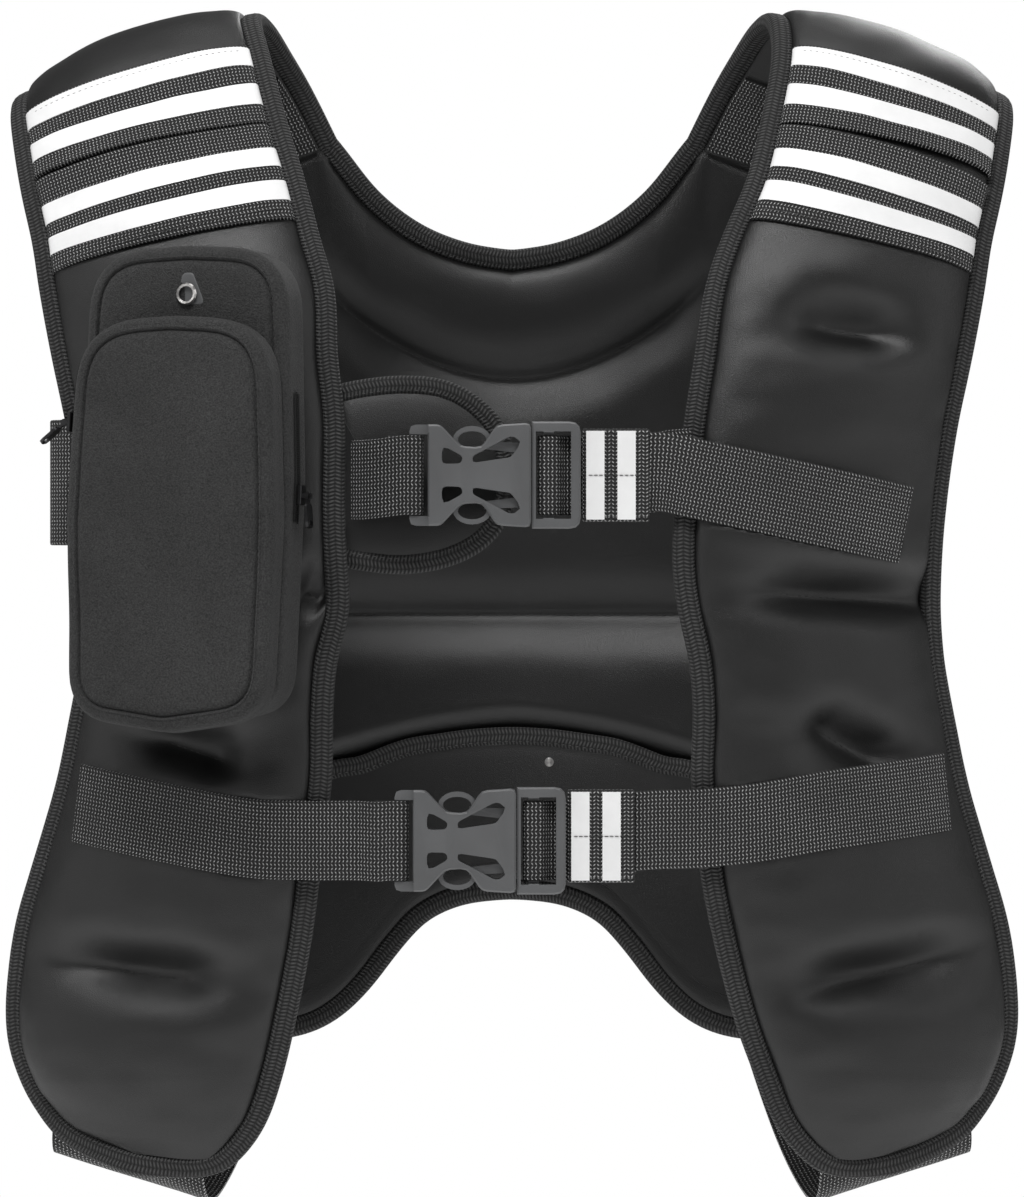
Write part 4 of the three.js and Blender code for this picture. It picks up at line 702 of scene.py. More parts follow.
line = lower_line("left")
round_bar = [line[-1], (-60, -115, -351.4)] + on_buckle(lower_buckle, socket_loop)
lower_left = np.vstack([np.array(line[:-1]), smooth_line(round_bar, 90)])
line = lower_line("right")
loop = on_buckle(lower_buckle, plug_loop)
lower_right = np.vstack([
    np.array(line[:-1]),
    smooth_line([line[-1], (48, -110.8, -347.6)] + loop[:2], 30)[:-1],
    smooth_line(loop[1:-1], 60)[:-1],
    smooth_line(loop[-2:] + [(40, -108.5, -349), (56, -108.5, -347.2)], 24),
])


def lean(line, amount, start, reach):
    """The direction across a strap, which tips sideways where the strap climbs."""
    share = np.clip((np.abs(line[:, 0]) - start) / reach, 0, 1)
    return np.stack([amount * share, np.zeros(len(line)), np.ones(len(line))], axis=1)


straps = {}
split = 71
tilt = lean(upper_right, 0.2, 60, 20)
tilt[split + 59:, 0] *= -0.6
straps["upper_strap_right"] = ribbon("upper_strap_right_web", upper_right, tilt, strap_width, web_thick)
straps["upper_strap_left"] = ribbon("upper_strap_left_web", upper_left, (0, 0, 1), strap_width, web_thick)
straps["lower_strap_left"] = ribbon("lower_strap_left_web", lower_left, lean(lower_left, 0.12, 100, 60),
                                    strap_width, web_thick)
straps["lower_strap_right"] = ribbon("lower_strap_right_web", lower_right, lean(lower_right, -0.1, 100, 60),
                                     strap_width, web_thick)
for node, obj in straps.items():
    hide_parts(node)
    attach(obj, "vest")
print("straps:", list(straps))

# %% Press the padding back under the straps


def press_under(grid, obj):
    """Push the padding back to just behind a strap, and count the points moved."""
    tree = tree_of_mesh(obj)
    box = np.array([tuple(v.co / MM) for v in obj.data.vertices])
    lo = box.min(axis=0) - 1
    hi = box.max(axis=0) + 1
    moved = 0
    near = np.argwhere((grid[..., 0] > lo[0]) & (grid[..., 0] < hi[0])
                       & (grid[..., 2] > lo[2]) & (grid[..., 2] < hi[2]) & (grid[..., 1] < hi[1] + 12))
    for i, j in near:
        x, y, z = grid[i, j]
        hit = tree.ray_cast(Vector((x, y + 14.0, z)), Vector((0.0, -1.0, 0.0)))
        if hit[0] is None:
            continue
        behind = hit[0].y + 0.25
        if y < behind:
            grid[i, j, 1] = behind
            moved += 1
    return moved


for node in ("upper_strap_right", "lower_strap_right"):
    print("pressed under", node, press_under(panel_outer["right"], straps[node]))
print("pressed under lower_strap_left", press_under(panel_outer["left"], straps["lower_strap_left"]))

# %% [markdown]
# ## The padded bodies
# The two front panels and the back are closed padded shells. They ride on the vest.

# %% Panels and back
pads = {}
for side in SIDES:
    pads[side] = shell(f"front_panel_{side}_pad", panel_outer[side], panel_inner[side])
    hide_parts(f"front_panel_{side}")
pads["back"] = shell("back_panel_pad", back_outer, back_inner)
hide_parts("back_panel")
for obj in pads.values():
    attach(obj, "vest")

# %% [markdown]
# ## Bindings
# A knitted tape is folded over each edge and sewn down. Its section is a flat oval, swept
# along the edge in one go, so the ribs of the tape run round every curve. A fine bead and
# a row of stitches lie along its inner margin.

# %% Bindings and beads
bind_width = 10.6
bind_thick = 8.6


def bind(name, points, normals, outs, width, thick, inset=1.1, steps=2.6, ease=4):
    """A binding along an edge, and the margin on which its bead and stitches lie."""
    points = np.asarray(points, float)
    normals = np.asarray(normals, float)
    outs = np.asarray(outs, float)
    size = length_along(points)
    at = np.linspace(0, size[-1], int(size[-1] / steps) + 1)
    spread = lambda rows: np.stack([np.interp(at, size, rows[:, k]) for k in range(3)], axis=1)
    points, normals, outs = spread(points), unit(spread(normals)), unit(spread(outs))
    for _ in range(ease):
        for rows in (points, normals, outs):
            rows[1:-1] = (rows[:-2] + 2 * rows[1:-1] + rows[2:]) / 4
    run = unit(np.gradient(points, axis=0))
    n = unit(normals - run * np.sum(normals * run, axis=1, keepdims=True))
    o = unit(np.cross(run, n))
    flip = np.where(np.sum(o * outs, axis=1) < 0, -1.0, 1.0)[:, None]
    o = o * flip
    centre = points + o * (width / 2 - inset)
    wave = 1 + 0.035 * noise_of(centre, 0.07, 2.2)
    rings = []
    for a in np.linspace(0, 2 * np.pi, 18, endpoint=False):
        c, s = math.cos(a), math.sin(a)
        across = -width / 2 * math.copysign(abs(c) ** 0.75, c)
        through = thick / 2 * math.copysign(abs(s) ** 0.8, s)
        rings.append(centre + o * across + n * (through * wave)[:, None])
    obj = sweep(name, np.stack(rings, axis=1))
    margin = {"at": centre - o * (width / 2 - 0.35), "n": n, "o": o, "thick": thick}
    return obj, margin


def panel_edge(side):
    """Points, normals and outward directions of a panel's edge, down, round and up again."""
    t_down = np.linspace(panel_end, 0, 300)
    t_up = t_down[::-1]
    rows = []
    for t, u, near in ((t_down, 0.0, 0.2), (t_up, 1.0, 0.8)):
        u = np.full_like(t, u)
        mid = panel_mid(side, t, u)
        rows.append((mid, panel_normal(side, t, u), mid - panel_mid(side, t, np.full_like(t, near))))
    u = np.linspace(0, 1, 9)[1:-1]
    zero = np.zeros_like(u)
    tip = panel_mid(side, zero, u)
    rows.insert(1, (tip, panel_normal(side, zero, u), tip - panel_mid(side, zero + 1, u)))
    return [np.vstack([row[k] for row in rows]) for k in range(3)]


bindings = {}
margins = {}
for side in SIDES:
    name = f"binding_{side}"
    bindings[name], margins[name] = bind(f"{name}_tape", *panel_edge(side), bind_width, bind_thick, ease=10)
    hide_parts(f"binding_{side}_inner", f"binding_{side}_outer")

u = np.linspace(-0.5, 0.5, 90)
v = np.ones_like(u)
edge = back_mid(u, v)
bindings["neck"], margins["neck"] = bind("binding_back_neck_tape", edge, back_normal(u, v),
                                         edge - back_mid(u, v - 0.1), bind_width, bind_thick)
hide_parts("binding_back_neck")

v_down = np.linspace(1, 0.012, 150)
u = np.linspace(-1, 1, 220)
left_side = back_mid(-1.0, v_down)
right_side = back_mid(1.0, v_down[::-1])
foot = back_mid(u, 0.0)
rim = np.vstack([left_side, foot, right_side])
rim_n = np.vstack([back_normal(-1.0, v_down), back_normal(u, 0.0), back_normal(1.0, v_down[::-1])])
sideways = np.tile([1.0, 0, 0], (len(v_down), 1))
rim_out = np.vstack([-sideways, foot - back_mid(u * 0.96, 0.1), sideways])
bindings["rim"], margins["rim"] = bind("binding_back_rim_tape", rim, rim_n, unit(rim_out),
                                       bind_width, bind_thick, ease=8)
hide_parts("binding_back_rim")
for obj in bindings.values():
    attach(obj, "vest")
print("bindings:", list(bindings))

# %% [markdown]
# ## Shoulder webbing and reflective tape
# Two wide bands of webbing cross each shoulder and overlap at a slit. Each carries two
# strips of reflective tape. They are laid on the panel from the same rows as the padding.

# %% Bands, stripes and patches
band_lines = {"top": (19.12, 18.6), "slit": (17.95, 17.1), "foot": (16.35, 15.2)}
slit_shares = {"left": (0.01, 0.03), "right": (0.012, 0.075)}
stripe_rows = [("upper", 0.03, 0.28), ("upper", 0.51, 0.76), ("lower", 0.26, 0.46), ("lower", 0.61, 0.81)]


def line_at(a, b, k):
    return tuple(p + (q - p) * k for p, q in zip(a, b))


def on_panel(side, lo, hi, lift, thick, rows, face=1, cols=48):
    """The lower and upper grid of a band across a panel, between two lines."""
    k = np.linspace(0, 1, rows + 1)[:, None]
    u = column_at(cols)[None, :]
    t0 = lo[0] + (lo[1] - lo[0]) * u
    t1 = hi[0] + (hi[1] - hi[0]) * u
    t = t0 + (t1 - t0) * k
    u = np.broadcast_to(u, t.shape)
    low = panel_face(side, t, u, face, lift)
    high = panel_face(side, t, u, face, lift + thick)
    return low, high


bands = {}
for side in SIDES:
    top_line, slit, foot_line = band_lines["top"], band_lines["slit"], band_lines["foot"]
    shares = slit_shares[side]
    ranges = {
        "upper": (top_line, tuple(p + (q - p) * (1 - k) for p, q, k in zip(top_line, slit, shares))),
        "lower": (tuple(p + (q - p) * k for p, q, k in zip(slit, foot_line, shares)), foot_line),
    }
    for band, (lo, hi) in ranges.items():
        under, over = on_panel(side, lo, hi, 0.3, 1.6, 16)
        # the webbing stands a little proud along the open slit, most at the arm side
        rise = np.linspace(0, 1, 17)[:, None] if band == "upper" else np.linspace(1, 0, 17)[:, None]
        open_side = column_at(48)[None, :]
        lift = (2.2 * rise ** 6 * np.clip((open_side - 0.15) / 0.5, 0, 1))[..., None]
        n = unit(over - under)
        name = f"shoulder_band_{side}_{band}"
        bands[name] = shell(f"{name}_web", over + n * lift, under + n * lift * 0.6)
        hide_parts(name)
    for n, (band, start, stop) in enumerate(stripe_rows, 1):
        lo, hi = ranges[band]
        under, over = on_panel(side, line_at(lo, hi, start), line_at(lo, hi, stop), 2.0, 0.35, 3)
        name = f"reflective_stripe_{side}_{n}"
        stripe = shell(f"{name}_tape", over, under)
        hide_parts(name)
        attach(stripe, "vest")
    under, over = on_panel(side, (22.3, 22.3), (23.9, 23.9), 0.1, 1.6, 12, face=-1)
    bands[f"patch_{side}"] = shell(f"shoulder_patch_{side}_web", over[:, 1:-1], under[:, 1:-1])
    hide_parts(f"shoulder_patch_{side}")
for obj in bands.values():
    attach(obj, "vest")
print("bands:", len(bands))

# %% [markdown]
# ## Side bands
# Under each arm a wide band joins the bottom of a front panel to the flap of the back.

# %% Side bands and the band round the pouch
band_edges = {
    # each edge: its places on the front panel, points between them in mm, places on the flap
    "arm": ([(4.2, 0.84), (3, 0.88)],
            [(-210, -43, -481), (-211, -34, -496), (-207, -14, -494), (-191, 14, -470)],
            [(0.87, 0.06), (0.87, 0.13)]),
    "neck": ([(2.6, 0.24), (1.5, 0.26)],
             [(-142, -61, -500), (-140, -52, -516), (-136, -33, -518), (-122, 6, -491)],
             [(0.6, 0.05), (0.6, 0.12)]),
}
steps = 90
for side in SIDES:
    s = SIGN[side]
    edges = []
    for start, run, end in band_edges.values():
        points = [panel_face(side, t, u, -1, 0.7, fine=False) for t, u in start]
        points += [np.array([-x * s, y, z]) for x, y, z in run]
        points += [flap_point(np.float64(w * s), np.float64(v), 1.3) for w, v in end]
        edges.append(smooth_line(points, steps))
    arm_edge, neck_edge = edges
    middle = (arm_edge + neck_edge) / 2
    across = arm_edge - neck_edge
    run = unit(np.gradient(middle, axis=0))
    n = unit(np.cross(run, across))
    k = np.linspace(0, 1, 25)[None, :, None]
    sag = 2.2 * np.sin(np.pi * k) * np.sin(np.pi * np.linspace(0, 1, steps + 1))[:, None, None]
    grid = neck_edge[:, None] + across[:, None] * k
    waves = 0.5 * noise_of(grid, 0.03, 4.4)[..., None] * n[:, None]
    grid = grid + np.array([0, 0, -1.0]) * sag * 0.5 + waves
    obj = shell(f"side_band_{side}_web", grid + n[:, None] * 0.9, grid - n[:, None] * 0.9)
    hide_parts(f"side_band_{side}")
    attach(obj, "vest")
    bands[f"side_{side}"] = obj

hold = smooth_line([(-179, -83.2, -189.5), (-191, -78.6, -189.5), (-203, -73, -189.5), (-209.6, -66, -189.5),
                    (-208.5, -57, -189.5), (-201, -52.4, -189.5), (-188, -54.2, -189.5), (-166, -64, -189.5),
                    (-146, -72.4, -189.5)], 70)
obj = ribbon("pouch_band_web", hold, (0, 0, 1), 57, 1.5)
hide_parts("pouch_band")
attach(obj, "vest")
bands["pouch"] = obj

# %% [markdown]
# ## Flap and buckle pad
# The flap is a thin padded sheet that lies on the inside of the back. The pad behind the
# upper buckle is a small padded tab. Both are bound like the panels.

# %% Flap
u = np.linspace(-flap_side, flap_side, 121)
arch = arch_share(u)
arch = np.convolve(np.pad(arch, 6, mode="edge"), np.ones(13) / 13, mode="valid")
k = np.linspace(0, 1, 41)[:, None]
v = 0.025 + (arch[None, :] - 0.025) * k
uu3 = np.broadcast_to(u, v.shape)
soft = np.sin(np.pi * np.clip(k, 0.02, 0.98)) ** 0.5
plain = flap_point(uu3, v, 0.0 * v)
puffed = 1.3 * soft + 1.1 * soft * noise_of(plain, 0.018, 6.1)
inner = flap_point(uu3, v, puffed)
outer = flap_point(uu3, v, 0.0 * v - flap_thick)
flap = shell("lumbar_flap_pad", inner, outer)
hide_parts("lumbar_flap")
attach(flap, "vest")
edge = flap_point(u, arch, 0.0 * u - flap_thick / 2)
thin_width = 9.6
upwards = np.tile([0.0, 0, 1], (len(u), 1))
obj, margins["flap"] = bind("lumbar_flap_binding_tape", edge, back_normal(u, arch), upwards,
                            thin_width, flap_thick + 2.4)
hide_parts("lumbar_flap_binding")
bindings["flap"] = obj

# %% Buckle pad
tab_outline = [(-80, -154), (-66, -151), (-50, -149.5), (-31, -151.5), (-17, -160), (-9, -171), (-6.3, -187),
               (-9, -203), (-17, -213), (-31, -220), (-50, -223), (-66, -221.5), (-80, -219)]
tab_mid = np.array([0, -94.8, -187.0])
tab_up = unit([0, 0.085, 1])
tab_out = unit([0, -1, 0.085])
tab_thick = 5.0
curve = smooth_line([(x, 0, z - tab_mid[2]) for x, z in tab_outline], 150)
inside = np.array([-62.0, 0, -tab_mid[2] - 187.0])
rings_out = []
rings_in = []
for share in (1, 0.985, 0.95, 0.9, 0.8, 0.65, 0.5, 0.3, 0.12):
    ring = inside + (curve - inside) * share
    flat = tab_mid + ring[:, :1] * [1.0, 0, 0] + ring[:, 2:] * tab_up
    rise = 1.6 * (1 - share ** 6)
    rings_out.append(flat + tab_out * (rise - 0.2))
    rings_in.append(flat - tab_out * tab_thick)
obj = shell("buckle_pad_body", np.array(rings_out), np.array(rings_in))
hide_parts("buckle_pad")
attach(obj, "vest")
pads["tab"] = obj
edge = tab_mid + curve[:, :1] * [1.0, 0, 0] + curve[:, 2:] * tab_up - tab_out * tab_thick / 2
outs = np.stack([curve[:, 0] + 50, np.zeros(len(curve)), curve[:, 2]], axis=1)
obj, margins["tab"] = bind("buckle_pad_binding_tape", edge, np.tile(tab_out, (len(edge), 1)), outs,
                           thin_width, tab_thick + 1.4)
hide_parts("buckle_pad_binding")
bindings["tab"] = obj
for name in ("flap", "tab"):
    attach(bindings[name], "vest")
print("flap and pad done")

# %% [markdown]
# ## Keepers
# A loop of webbing with two strips of tape holds both layers of each strap together.

# %% Keepers
keeper_wall = 1.2
keeper_reach = 30.0
keeper_from = 23.2  # from the middle of the buckle to the near side of its keeper
front_layer = 2.3  # how far the two layers of the strap lie behind the buckle's middle
back_layer = 4.5
loop_gap = 0.55
stripe_thick = 0.3


def rounded(corners, steps=8):
    """A closed outline from corners x, y and how round each of them is."""
    out = []
    for i, (x, y, r) in enumerate(corners):
        here = np.array([x, y], float)
        p = np.array(corners[i - 1][:2], float)
        q = np.array(corners[(i + 1) % len(corners)][:2], float)
        if r == 0:
            out.append(here)
            continue
        d1 = unit(p - here)
        d2 = unit(q - here)
        half = math.acos(max(-1, min(1, float(d1 @ d2)))) / 2
        reach = r / math.tan(half)
        first = here + d1 * reach
        last = here + d2 * reach
        for k in np.linspace(0, 1, steps + 1):
            out.append((1 - k) ** 2 * first + 2 * k * (1 - k) * here + k * k * last)
    return np.array(out)


def keeper(name, place, from_x, centre_z):
    y0 = place[1] + front_layer - web_thick / 2 - loop_gap
    y1 = place[1] + back_layer + web_thick / 2 + loop_gap
    z0 = centre_z - strap_width / 2 - 2.5
    z1 = centre_z + strap_width / 2 + 2.5
    ring = rounded([(y0 - 0.6, z0, 1.8), (y1 + 0.6, z0, 1.8), (y1 + 0.6, z1, 1.8), (y0 - 0.6, z1, 1.8)])
    centre = np.vstack([ring, ring[:1]])
    flat = even_line(np.column_stack([np.zeros(len(centre)), centre]), 160)
    flat[:, 0] = from_x + keeper_reach / 2
    obj = ribbon(f"strap_keeper_{name}_web", flat, (1, 0, 0), keeper_reach, keeper_wall)
    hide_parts(f"strap_keeper_{name}")
    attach(obj, "vest")
    bands[f"keeper_{name}"] = obj
    front = y0 - 0.6 - keeper_wall / 2 - 0.12
    for n, at in enumerate((1.6, 15.6), 1):
        zs = np.linspace(z0 + 0.4, z1 - 0.4, 24)
        xs = np.linspace(from_x + at, from_x + at + 8.2, 5)
        gx, gz = np.meshgrid(xs, zs)
        face = np.stack([gx, np.full_like(gx, front - stripe_thick), gz], axis=-1)
        stripe = shell(f"keeper_stripe_{name}_{n}_tape", face, face + np.array([0, stripe_thick, 0]))
        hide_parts(f"keeper_stripe_{name}_{n}")
        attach(stripe, "vest")


keeper("upper", upper_buckle, upper_buckle[0] + keeper_from, upper_buckle[2])
keeper("lower", lower_buckle, lower_buckle[0] + keeper_from, lower_buckle[2] + 2)
print("keepers done")

# %% [markdown]
# ## The pouch
# The pouch is a soft bag with a deep main pocket and a thinner pocket on its front. Each
# pocket is built as rings inside its outline: up the side wall, over a soft edge, across
# a sewn border and then over a slightly crowned face, which gives it a filled look.

# %% Pouch frame and outlines
pouch_turn = math.radians(20.5)
pouch_lean = math.radians(3.0)
pouch_seat = np.array([-140.5, -102.2, -195.0])
pa = np.array([math.cos(pouch_turn), -math.sin(pouch_turn), 0.0])
pn0 = np.array([-math.sin(pouch_turn), -math.cos(pouch_turn), 0.0])
pb = unit(np.array([0.0, 0.0, 1.0]) * math.cos(pouch_lean) - pn0 * math.sin(pouch_lean))
pouch_out = unit(np.cross(pa, pb))
main_deep = 21.0
main_wide = 103.0
front_deep = 15.0
front_wide = 101.0


def on_pouch(a, b, n):
    """A point of the pouch: a to its right, b up and n out from its back."""
    a, b, n = np.broadcast_arrays(np.asarray(a, float), np.asarray(b, float), np.asarray(n, float))
    return pouch_seat + a[..., None] * pa + b[..., None] * pb + n[..., None] * pouch_out


def pocket_outline(wide, top_at, foot, top_radius, foot_radius, sag, count=200):
    w = wide / 2
    ring = rounded([(-w + 3, foot, foot_radius), (0, foot - sag, 30), (w - 3, foot, foot_radius),
                    (w, (top_at + foot) / 2, 60), (w - 4, top_at, top_radius), (0, top_at + 2.5, 40),
                    (-w + 4, top_at, top_radius), (-w, (top_at + foot) / 2, 60)])
    closed = np.vstack([ring, ring[:1]])
    return even_line(np.column_stack([closed, np.zeros(len(closed))]), count)[:-1, :2]


main_outline = pocket_outline(main_wide, 108, -98, 30, 22, 6)
front_outline = pocket_outline(front_wide, 75, -102, 34, 24, 7)


def inset(outline, amount):
    """The outline moved inwards by an amount."""
    tangent = np.roll(outline, -1, axis=0) - np.roll(outline, 1, axis=0)
    normal = unit(np.stack([tangent[:, 1], -tangent[:, 0]], axis=1))
    centre = outline.mean(axis=0)
    if ((outline[0] - centre) @ normal[0]) > 0:
        normal = -normal
    return outline + normal * amount


# the sewn border: a groove between two soft ridges, by distance from the edge and height
border_rows = [(5.2, 0.5), (5.8, 0.3), (6.2, -0.7), (6.5, -1.3),
               (6.9, -0.8), (7.6, 0.1), (9, 0.7), (11, 0.9)]
border_stitch = 6.5
pocket_gap = 0.3


def pocket(name, outline, low, high, crown, soft, seed):
    """A soft box from height low to high over its outline, with a sewn border and a crown."""
    r = 5.0
    rows = [(0.3, low), (0, low + 0.8), (0, low + 2.5)]
    for k in (0.25, 0.5, 0.75, 1):
        rows.append((0.25 * math.sin(math.pi * k), low + 2.5 + (high - r - low - 2.5) * k))
    for a in np.linspace(0, math.pi / 2, 7)[1:]:
        rows.append((r * (1 - math.cos(a)), high - r + r * math.sin(a)))
    rows += [(at, high + dip) for at, dip in border_rows]
    rings = []
    for at, height in rows:
        ring = inset(outline, at)
        rings.append((ring, np.full(len(ring), height)))
    last = inset(outline, 11)
    centre = last.mean(axis=0)
    for share in np.linspace(0.97, 0.03, 26):
        ring = centre + (last - centre) * share
        rings.append((ring, np.full(len(ring), high + 0.9 + crown * (1 - share ** 2.4))))
    points = []
    for n, (ring, height) in enumerate(rings):
        p = on_pouch(ring[:, 0], ring[:, 1], height)
        if n > 2:
            calm = min(1.0, (n - 2) / 6)
            fold = soft * noise_of(p, 0.022, seed) + 0.35 * soft * noise_of(p * [1, 1, 0.5], 0.07, seed + 4)
            p = p + pouch_out * (calm * fold)[:, None]
        points.append(p)
    rings = np.array(points)
    verts = rings.reshape(-1, 3)
    rel = verts - pouch_seat
    flat = np.stack([rel @ pa + (rel @ pouch_out) * 0.7, rel @ pb], axis=1)
    obj = make_mesh(name, verts, tube_faces(*rings.shape[:2]), flat, 60)
    turn_outward(obj)
    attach(obj, "vest")
    return obj


pouch_main = pocket("pouch_main_bag", main_outline, 0.0, main_deep, 0.4, 0.6, 2.0)
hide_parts("pouch_main")
front_from = main_deep + pocket_gap
pouch_front = pocket("pouch_front_bag", front_outline, front_from, front_from + front_deep, 1.2, 2.3, 7.0)
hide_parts("pouch_front")
print("pouch faces:", len(pouch_main.data.polygons), len(pouch_front.data.polygons))

# %% Cable port
patch = rounded([(-9, -7, 2.4), (9, -7, 2.4), (2.6, 8, 2.4), (-2.6, 8, 2.4)], 5)
patch_rings = []
for share, height in ((1.0, 0.25), (0.99, 0.7), (0.95, 0.95), (0.8, 1.0), (0.4, 1.0), (0.05, 1.0)):
    ring = patch * share
    patch_rings.append(on_pouch(1.3 + ring[:, 0], 90 + ring[:, 1], main_deep + 0.2 + height))
patch_obj = sweep("port_patch_piece", np.array(patch_rings))
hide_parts("port_patch")
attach(patch_obj, "vest")

# %% [markdown]
# ## Zips
# Each zip is a strip of tape along the side wall of its pocket with a row of fine coil
# teeth on it. Below the slider the two rows stand a little open.

# %% Zip chains


def side_at(outline, wall, b):
    """How far out the side wall of a pocket lies at height b on the pouch."""
    best = 0.0
    for p, q in zip(outline, np.roll(outline, -1, axis=0)):
        if (p[1] - b) * (q[1] - b) <= 0 and p[1] != q[1]:
            a = p[0] + (q[0] - p[0]) * (b - p[1]) / (q[1] - p[1])
            if a * wall > best * wall:
                best = a
    return best


def side_frame(outline, wall, n, b, lift):
    """On that wall: the direction along it, the direction out of it, and a place on it."""
    da = side_at(outline, wall, b + 1) - side_at(outline, wall, b - 1)
    run = unit(pb * 2 + pa * da)
    out = unit(np.cross(run, pouch_out))
    if out @ pa * wall < 0:
        out = -out
    return run, out, on_pouch(side_at(outline, wall, b), b, n) + out * lift


# outline, side of the pouch, height over its back, from, to, place of the slider
zips = {
    "left": (front_outline, -1, main_deep + 8, 0, 58, 30),
    "right": (main_outline, 1, 11.0, -14, 44, -2),
}
tooth_corners = [(-0.22, -0.85, -0.3), (0.22, -0.85, -0.3), (0.22, 0.85, -0.3), (-0.22, 0.85, -0.3),
                 (-0.16, -0.7, 0.3), (0.16, -0.7, 0.3), (0.16, 0.7, 0.3), (-0.16, 0.7, 0.3)]
tooth_faces = [(3, 2, 1, 0), (4, 5, 6, 7), (0, 1, 5, 4), (1, 2, 6, 5), (2, 3, 7, 6), (3, 0, 4, 7)]
zip_rows = {}
for name, (outline, wall, depth_at, b0, b1, slider_b) in zips.items():
    teeth_points = []
    teeth_faces = []
    tape = []
    for b in np.arange(b0, b1 + 0.1, 0.8):
        run, out, at = side_frame(outline, wall, depth_at, b, 0.3)
        below = b < slider_b - 4
        spread = 0.5 * min(1, (slider_b - 4 - b) / 8) if below else 0.0
        tape.append((at, out))
        for sign in (-1, 1):
            shift = 0.4 * sign
            centre = at + run * shift + pouch_out * sign * (0.75 + spread) + out * 0.75
            base = len(teeth_points)
            for x, y, z in tooth_corners:
                teeth_points.append(centre + run * x + pouch_out * y + out * z)
            for f in tooth_faces:
                teeth_faces.append(tuple(base + v for v in f))
    width = np.linspace(-2.5, 2.5, 7)
    low = np.array([[p + pouch_out * w for w in width] for p, _ in tape])
    outward = np.array([[o] * len(width) for _, o in tape])
    obj = shell(f"zip_chain_{name}_tape", low + outward * 0.45, low + outward * 0.02)
    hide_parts(f"zip_chain_{name}")
    teeth = make_mesh(f"zip_chain_{name}_teeth", teeth_points, teeth_faces, None, 30)
    turn_outward(teeth)
    for piece in (obj, teeth):
        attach(piece, "vest")
    zip_rows[name] = (obj, teeth)
print("zips done")

# %% [markdown]
# ## Stitches and beads
# A stitch is a short thread with thinned ends, pressed into the cloth. One mesh holds a
# whole row, so a thousand stitches stay light. The bead is the fine edge of the binding.

# %% Rows of stitches


def stitch_row(name, line, normals, pitch=3.2, length=2.2, radius=0.27, lift=0.12):
    """One mesh with a short five-sided thread at every pitch along a line."""
    line = np.asarray(line, float)
    normals = np.asarray(normals, float)
    size = length_along(line)
    at = np.arange(pitch, size[-1] - pitch, pitch)
    spread = lambda rows, s: np.stack([np.interp(s, size, rows[:, k]) for k in range(3)], axis=1)
    centre = spread(line, at)
    ahead = spread(line, at + 0.4)
    run = unit(ahead - centre)
    n = unit(spread(normals, at))
    o = unit(np.cross(run, n))
    points = []
    faces = []
    half = length / 2
    shape = ((-half, 0.35, -0.25), (-half * 0.55, 0.95, 0.05), (0, 1.0, 0.2), (half * 0.55, 0.95, 0.05),
             (half, 0.35, -0.25))
    for c, r, nn, oo in zip(centre, run, n, o):
        base = len(points)
        for along_run, fat, rise in shape:
            mid = c + r * along_run + nn * (lift + rise * radius)
            for a in range(5):
                turn = 2 * math.pi * a / 5
                points.append(mid + (oo * math.cos(turn) + nn * math.sin(turn)) * radius * fat)
        faces += tube_faces(len(shape), 5, base)
    obj = make_mesh(name, points, faces, None, 80)
    turn_outward(obj)
    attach(obj, "vest")
    return obj


# %% [markdown]
# Each binding gets a fine bead along its margin and a row of stitches on the tape. Both
# pockets have a row in the groove of their border, laid on the finished bag with rays.

# %% Beads and stitches of bindings and pockets
threads = {}
beads = {}
for name, margin in margins.items():
    # the flap and the back rim are seen from the inside, the panels and the tab from outside
    face = -1.0 if name in ("neck", "rim", "flap") else 1.0
    lift = margin["thick"] / 2 * 0.62
    line = margin["at"] + margin["o"] * 0.9 + margin["n"] * face * lift
    rings = []
    for a in np.linspace(0, 2 * np.pi, 8, endpoint=False):
        rings.append(line + (margin["o"] * math.cos(a) + margin["n"] * math.sin(a)) * 0.42)
    beads[name] = sweep(f"bead_{name}", np.stack(rings, axis=1))
    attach(beads[name], "vest")
    stitches = margin["at"] + margin["o"] * 2.3 + margin["n"] * face * (margin["thick"] / 2 * 0.86)
    threads[name] = stitch_row(f"stitches_{name}", stitches, margin["n"] * face, pitch=3.4, length=2.0)
for name, bag, outline, height in (("main", pouch_main, main_outline, main_deep),
                                   ("front", pouch_front, front_outline, front_from + front_deep)):
    tree = tree_of_mesh(bag)
    ring = inset(outline, border_stitch)
    ring = np.vstack([ring, ring[:1]])
    line = []
    for a, b in ring:
        start = on_pouch(a, b, height + 20)
        hit = tree.ray_cast(Vector(start), Vector(-pouch_out))
        line.append(np.array(hit[0]) if hit[0] is not None else on_pouch(a, b, height))
    obj = stitch_row(f"stitches_pouch_{name}", line, np.tile(pouch_out, (len(line), 1)),
                     pitch=3.0, length=2.1, radius=0.24)
    threads[f"pouch_{name}"] = obj
print("beads:", len(beads))

# %% [markdown]
# The shoulder bands, the patches, the free end of the upper strap and the keepers are sewn
# with straight rows. They use the same surfaces as the cloth that they hold.

# %% Stitches of bands and straps


def panel_stitches(name, side, face, lift, path, pitch=2.9):
    t, u = np.array(path).T
    size = np.linspace(0, 1, len(t))
    fine = np.linspace(0, 1, 160)
    t = np.interp(fine, size, t)
    u = np.interp(fine, size, u)
    line = panel_face(side, t, u, face, lift)
    obj = stitch_row(name, line, panel_normal(side, t, u) * face, pitch=pitch)
    threads[name] = obj


